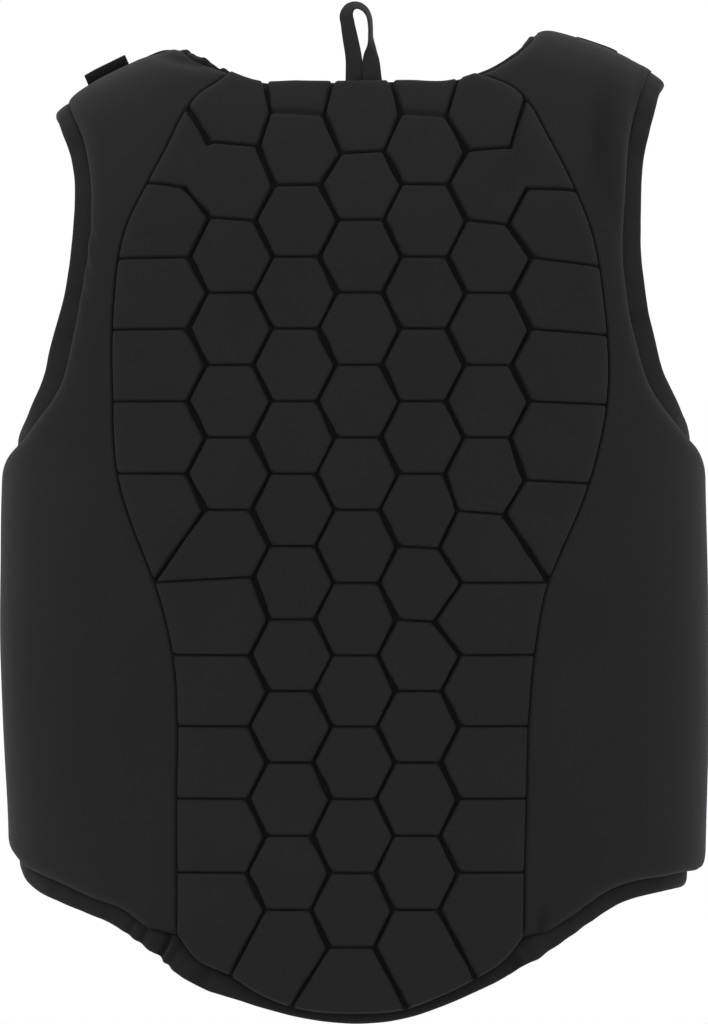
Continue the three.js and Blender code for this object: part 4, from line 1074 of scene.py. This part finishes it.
# Hem strip: gathers at the two corners of the tail, where the elastic pulls it together
def hemShape(points, isBack):
    size = hemGathers
    aside = np.abs(points[:, 0])
    share = curveThrough(hemWidth, "across", "width", points[:, 0] / torsoSizes["chest"])
    width = bindingSizes["width"] * np.where(isBack, share, hemWidth["width"][0])
    corner = np.exp(-((aside - size["x"]) / size["half"]) ** 2) * isBack
    raised = size["lift"] * np.exp(-((aside - size["liftX"]) / size["liftHalf"]) ** 2) * isBack
    return width, evenGather(points) + size["depth"] * corner * softNoise(points, size["wave"], 33), raised


# Neck strip: small puckers on the left where the lining is gathered
def neckShape(points, isBack):
    size = neckPuckers
    corner = np.exp(-((points[:, 0] - size["x"]) / size["half"]) ** 2) * isBack
    ripple = evenGather(points) + corner * (size["rise"] + size["depth"] * softNoise(points, size["wave"], 35))
    return np.full(len(points), bindingSizes["neckWidth"]), ripple, np.zeros(len(points))


dense = np.linspace(0, 1, 1600)
start, top = bindingSizes["start"], bindingSizes["top"]
for side, runs, sign in (("left", leftRuns, -1), ("right", rightRuns, 1)):
    ring = np.vstack([runs["armBack"](dense * armRows), runs["armFront"](dense)[1:-1]])
    bandPiece("armhole_band_" + side, "armhole_binding_" + side, ring, True, sign, start, top, armShape(side))

hemHalf = lambda runs: np.vstack([runs["hemFront"](dense)[::-1], runs["hemBack"](dense)[1:]])
hemMiddle = onRun("bottom", dense * lastKnot["bottom"])[1:-1]
hemPath = np.vstack([hemHalf(leftRuns), hemMiddle, hemHalf(rightRuns)[::-1]])
bandPiece("hem_band", "hem_binding", hemPath, False, -1, start, top, hemShape, soft=9)

neckHalf = lambda runs: np.vstack([runs["neckFront"](dense)[::-1], runs["neck"](dense)[1:]])
neckX = np.linspace(padShoulder["left"][0], padShoulder["right"][0], 400) * torsoSizes["chest"]
neckPath = np.vstack([neckHalf(leftRuns), onRun("neck", neckX)[1:-1], neckHalf(rightRuns)[::-1]])
start, top = bindingSizes["neckStart"], bindingSizes["neckTop"]
bandPiece("neck_band", "neck_binding", neckPath, False, 1, start, top, neckShape)

# Tape loop at the neck: a ribbon along a path in the plane of the back, turned so that its seen half width fits
loopSizes = {
    "x": [0.6, -0.3, -2.5, -3.8, -4.5, -2.2, 1.8, 6.0, 8.8, 9.9, 10.1, 10.6, 10.3, 11.2],
    "z": [-20.0, -5.2, 7.2, 14.4, 21.0, 24.8, 25.9, 24.0, 19.9, 13.8, 7.2, 1.1, -5.2, -20.0],
    "seen": [5.8, 4.9, 4.5, 4.1, 3.9, 3.2, 2.6, 2.2, 1.6, 1.3, 1.3, 2.4, 4.6, 5.8],
    "halfWidth": 5.9, "thick": 1.4, "y": -68.6, "bow": 1.6, "offset": -1.7,
}


# Section carried along the loop's path, which bows out and ends one tape's thickness farther back than it starts
def hangLoop():
    size = loopSizes
    knots = np.stack([size["x"], size["z"]], -1)
    way = np.concatenate([[0], np.cumsum(np.linalg.norm(np.diff(knots, axis=0), axis=1))])
    at = np.linspace(0, way[-1], 180)
    table = {"way": way, "x": size["x"], "z": size["z"], "seen": size["seen"]}
    x, z, seen = (curveThrough(table, "way", name, at) for name in ("x", "z", "seen"))
    share = at / at[-1]
    path = np.stack([x, size["y"] + size["bow"] * np.sin(math.pi * share) + size["offset"] * share, z], -1)
    along = unit(np.gradient(path, axis=0))
    flat = unit(np.cross(along, [0.0, 1.0, 0.0]))
    cosine = np.clip(eased(seen[:, None], 4) / size["halfWidth"], 0, 1)
    wide = flat * cosine + np.array([0.0, 1.0, 0.0]) * np.sqrt(1 - cosine**2)
    deep = unit(np.cross(along, wide))
    a, b = bandSection(-size["halfWidth"], size["halfWidth"], -size["thick"] / 2, size["thick"] / 2, 24)
    rings = path[:, None] + wide[:, None] * a[None, :, None] + deep[:, None] * b[None, :, None]
    points, groups = tubeSkin(rings)
    marks = {"shade": np.zeros(len(points))}
    piece = newPiece("hang_loop_tape", points, groups, tapeMaterial, marks)
    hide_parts("hang_loop")


hangLoop()

# Closure straps over the front of the shoulders, and the plain strip of the front closure
strapSizes = {
    "middle": 144.4, "width": 25.0, "thick": 2.6, "length": 66.0, "setback": 14.0, "clearance": 0.5,
    "freeEnd": 8.5, "curl": 1.1, "curlSteps": 20,  # the left one's free end curls up by this angle
}
closureSizes = {"half": 8.6, "inner": 1.0, "edge": 3.0, "outer": 5.0}


# Flat tape from a grid of middle points and outward ways, its edges rounded: the thickness falls as a high power
# of the way across
def tapePiece(name, node, middle, out, half, across, thinnest=0.15):
    rounded = np.sqrt(1 - np.abs(across) ** 10)[None, :, None] * (1 - thinnest) + thinnest
    faces = gridFaces(*middle.shape[:2])
    upper, lower = middle + out * half * rounded, middle - out * half * rounded
    points, groups = closedWall(upper.reshape(-1, 3), lower.reshape(-1, 3), faces)
    piece = newPiece(name, points, groups, tapeMaterial, {"shade": np.zeros(len(points))})
    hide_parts(node)


# Strap laid on the front panel's padding, and past its end a tail that turns from its run to the outward way
def strapPiece(name, node, sign, freeEnd):
    size = strapSizes
    across = np.linspace(-1, 1, 25)
    level = torsoSizes["shoulderRun"] - size["setback"] - size["length"] * (1 - np.linspace(0, 1, 60))
    spots = spotAt(sign * size["middle"] + across[None, :] * size["width"] / 2, level[:, None], False)
    points, out = torso(spots[..., 0], spots[..., 1]), outward(spots[..., 0], spots[..., 1])
    full = fullness(points.reshape(-1, 3)).reshape(points.shape[:2])
    height = panelSizes["thick"] + full + size["clearance"] + size["thick"] / 2
    middle = points + out * height[..., None]
    if freeEnd:
        way = unit(middle[-1] - middle[-16])
        bend = np.linspace(0, size["curl"], size["curlSteps"] + 1)[1:, None, None]
        steps = way * np.cos(bend) + out[-1] * np.sin(bend)
        tail = middle[-1] + np.cumsum(steps, axis=0) * freeEnd / size["curlSteps"]
        middle = np.concatenate([middle, tail])
        out = np.concatenate([out, out[-1] * np.cos(bend) - way * np.sin(bend)])
    tapePiece(name, node, middle, out, size["thick"] / 2, across)


# Front closure: a strip between the front panels, thicker along its middle
def closurePiece():
    size = closureSizes
    across = np.linspace(-1, 1, 24)
    level = leftRuns["closure"](np.linspace(0, 1, 220))[:, 1]
    spots = spotAt(across[None, :] * size["half"], level[:, None], False)
    points, out = torso(spots[..., 0], spots[..., 1]), outward(spots[..., 0], spots[..., 1])
    crown = size["edge"] + (size["outer"] - size["edge"]) * (1 - across**4)
    middle = points + out * ((crown + size["inner"]) / 2)[None, :, None]
    thick = size["outer"] - size["inner"]
    out = out * ((crown - size["inner"]) / thick)[None, :, None]
    tapePiece("front_closure_strip", "front_zip", middle, out, thick / 2, across)


strapPiece("shoulder_strap_left", "shoulder_tab_left", -1, strapSizes["freeEnd"])
strapPiece("shoulder_strap_right", "shoulder_tab_right", 1, 0)
closurePiece()
print("bands, loop and straps made")

# Plain pale floor and plain soft light
floorSizes = {"size": 3.0, "level": -0.95, "shade": 0.86, "roughness": 0.9}
bpy.ops.mesh.primitive_plane_add(size=floorSizes["size"], location=(0, 0, floorSizes["level"]))
floor = bpy.context.object
floor.name = "floor"
floorMaterial = bpy.data.materials.new("pale_floor")
floorMaterial.use_nodes = True
floorShader = floorMaterial.node_tree.nodes["Principled BSDF"]
floorShader.inputs["Base Color"].default_value = [floorSizes["shade"]] * 3 + [1]
floorShader.inputs["Roughness"].default_value = floorSizes["roughness"]
floor.data.materials.append(floorMaterial)

lightSizes = {"world": 1.0, "key": 14.0, "size": (2.4, 1.8), "place": (-0.4, -2.4, 1.1), "aim": (0, 0, -0.3)}
world = bpy.data.worlds.new("studio")
bpy.context.scene.world = world
world.use_nodes = True
world.node_tree.nodes["Background"].inputs["Color"].default_value = (1, 1, 1, 1)
world.node_tree.nodes["Background"].inputs["Strength"].default_value = lightSizes["world"]
lampData = bpy.data.lights.new("softbox", "AREA")
lampData.shape = "RECTANGLE"
lampData.size, lampData.size_y = lightSizes["size"]
lampData.energy = lightSizes["key"]
lamp = bpy.data.objects.new("softbox", lampData)
lamp.location = lightSizes["place"]
lamp.rotation_euler = (Vector(lightSizes["aim"]) - Vector(lamp.location)).to_track_quat("-Z", "Y").to_euler()
bpy.context.scene.collection.objects.link(lamp)
bpy.context.scene.view_settings.view_transform = "Standard"
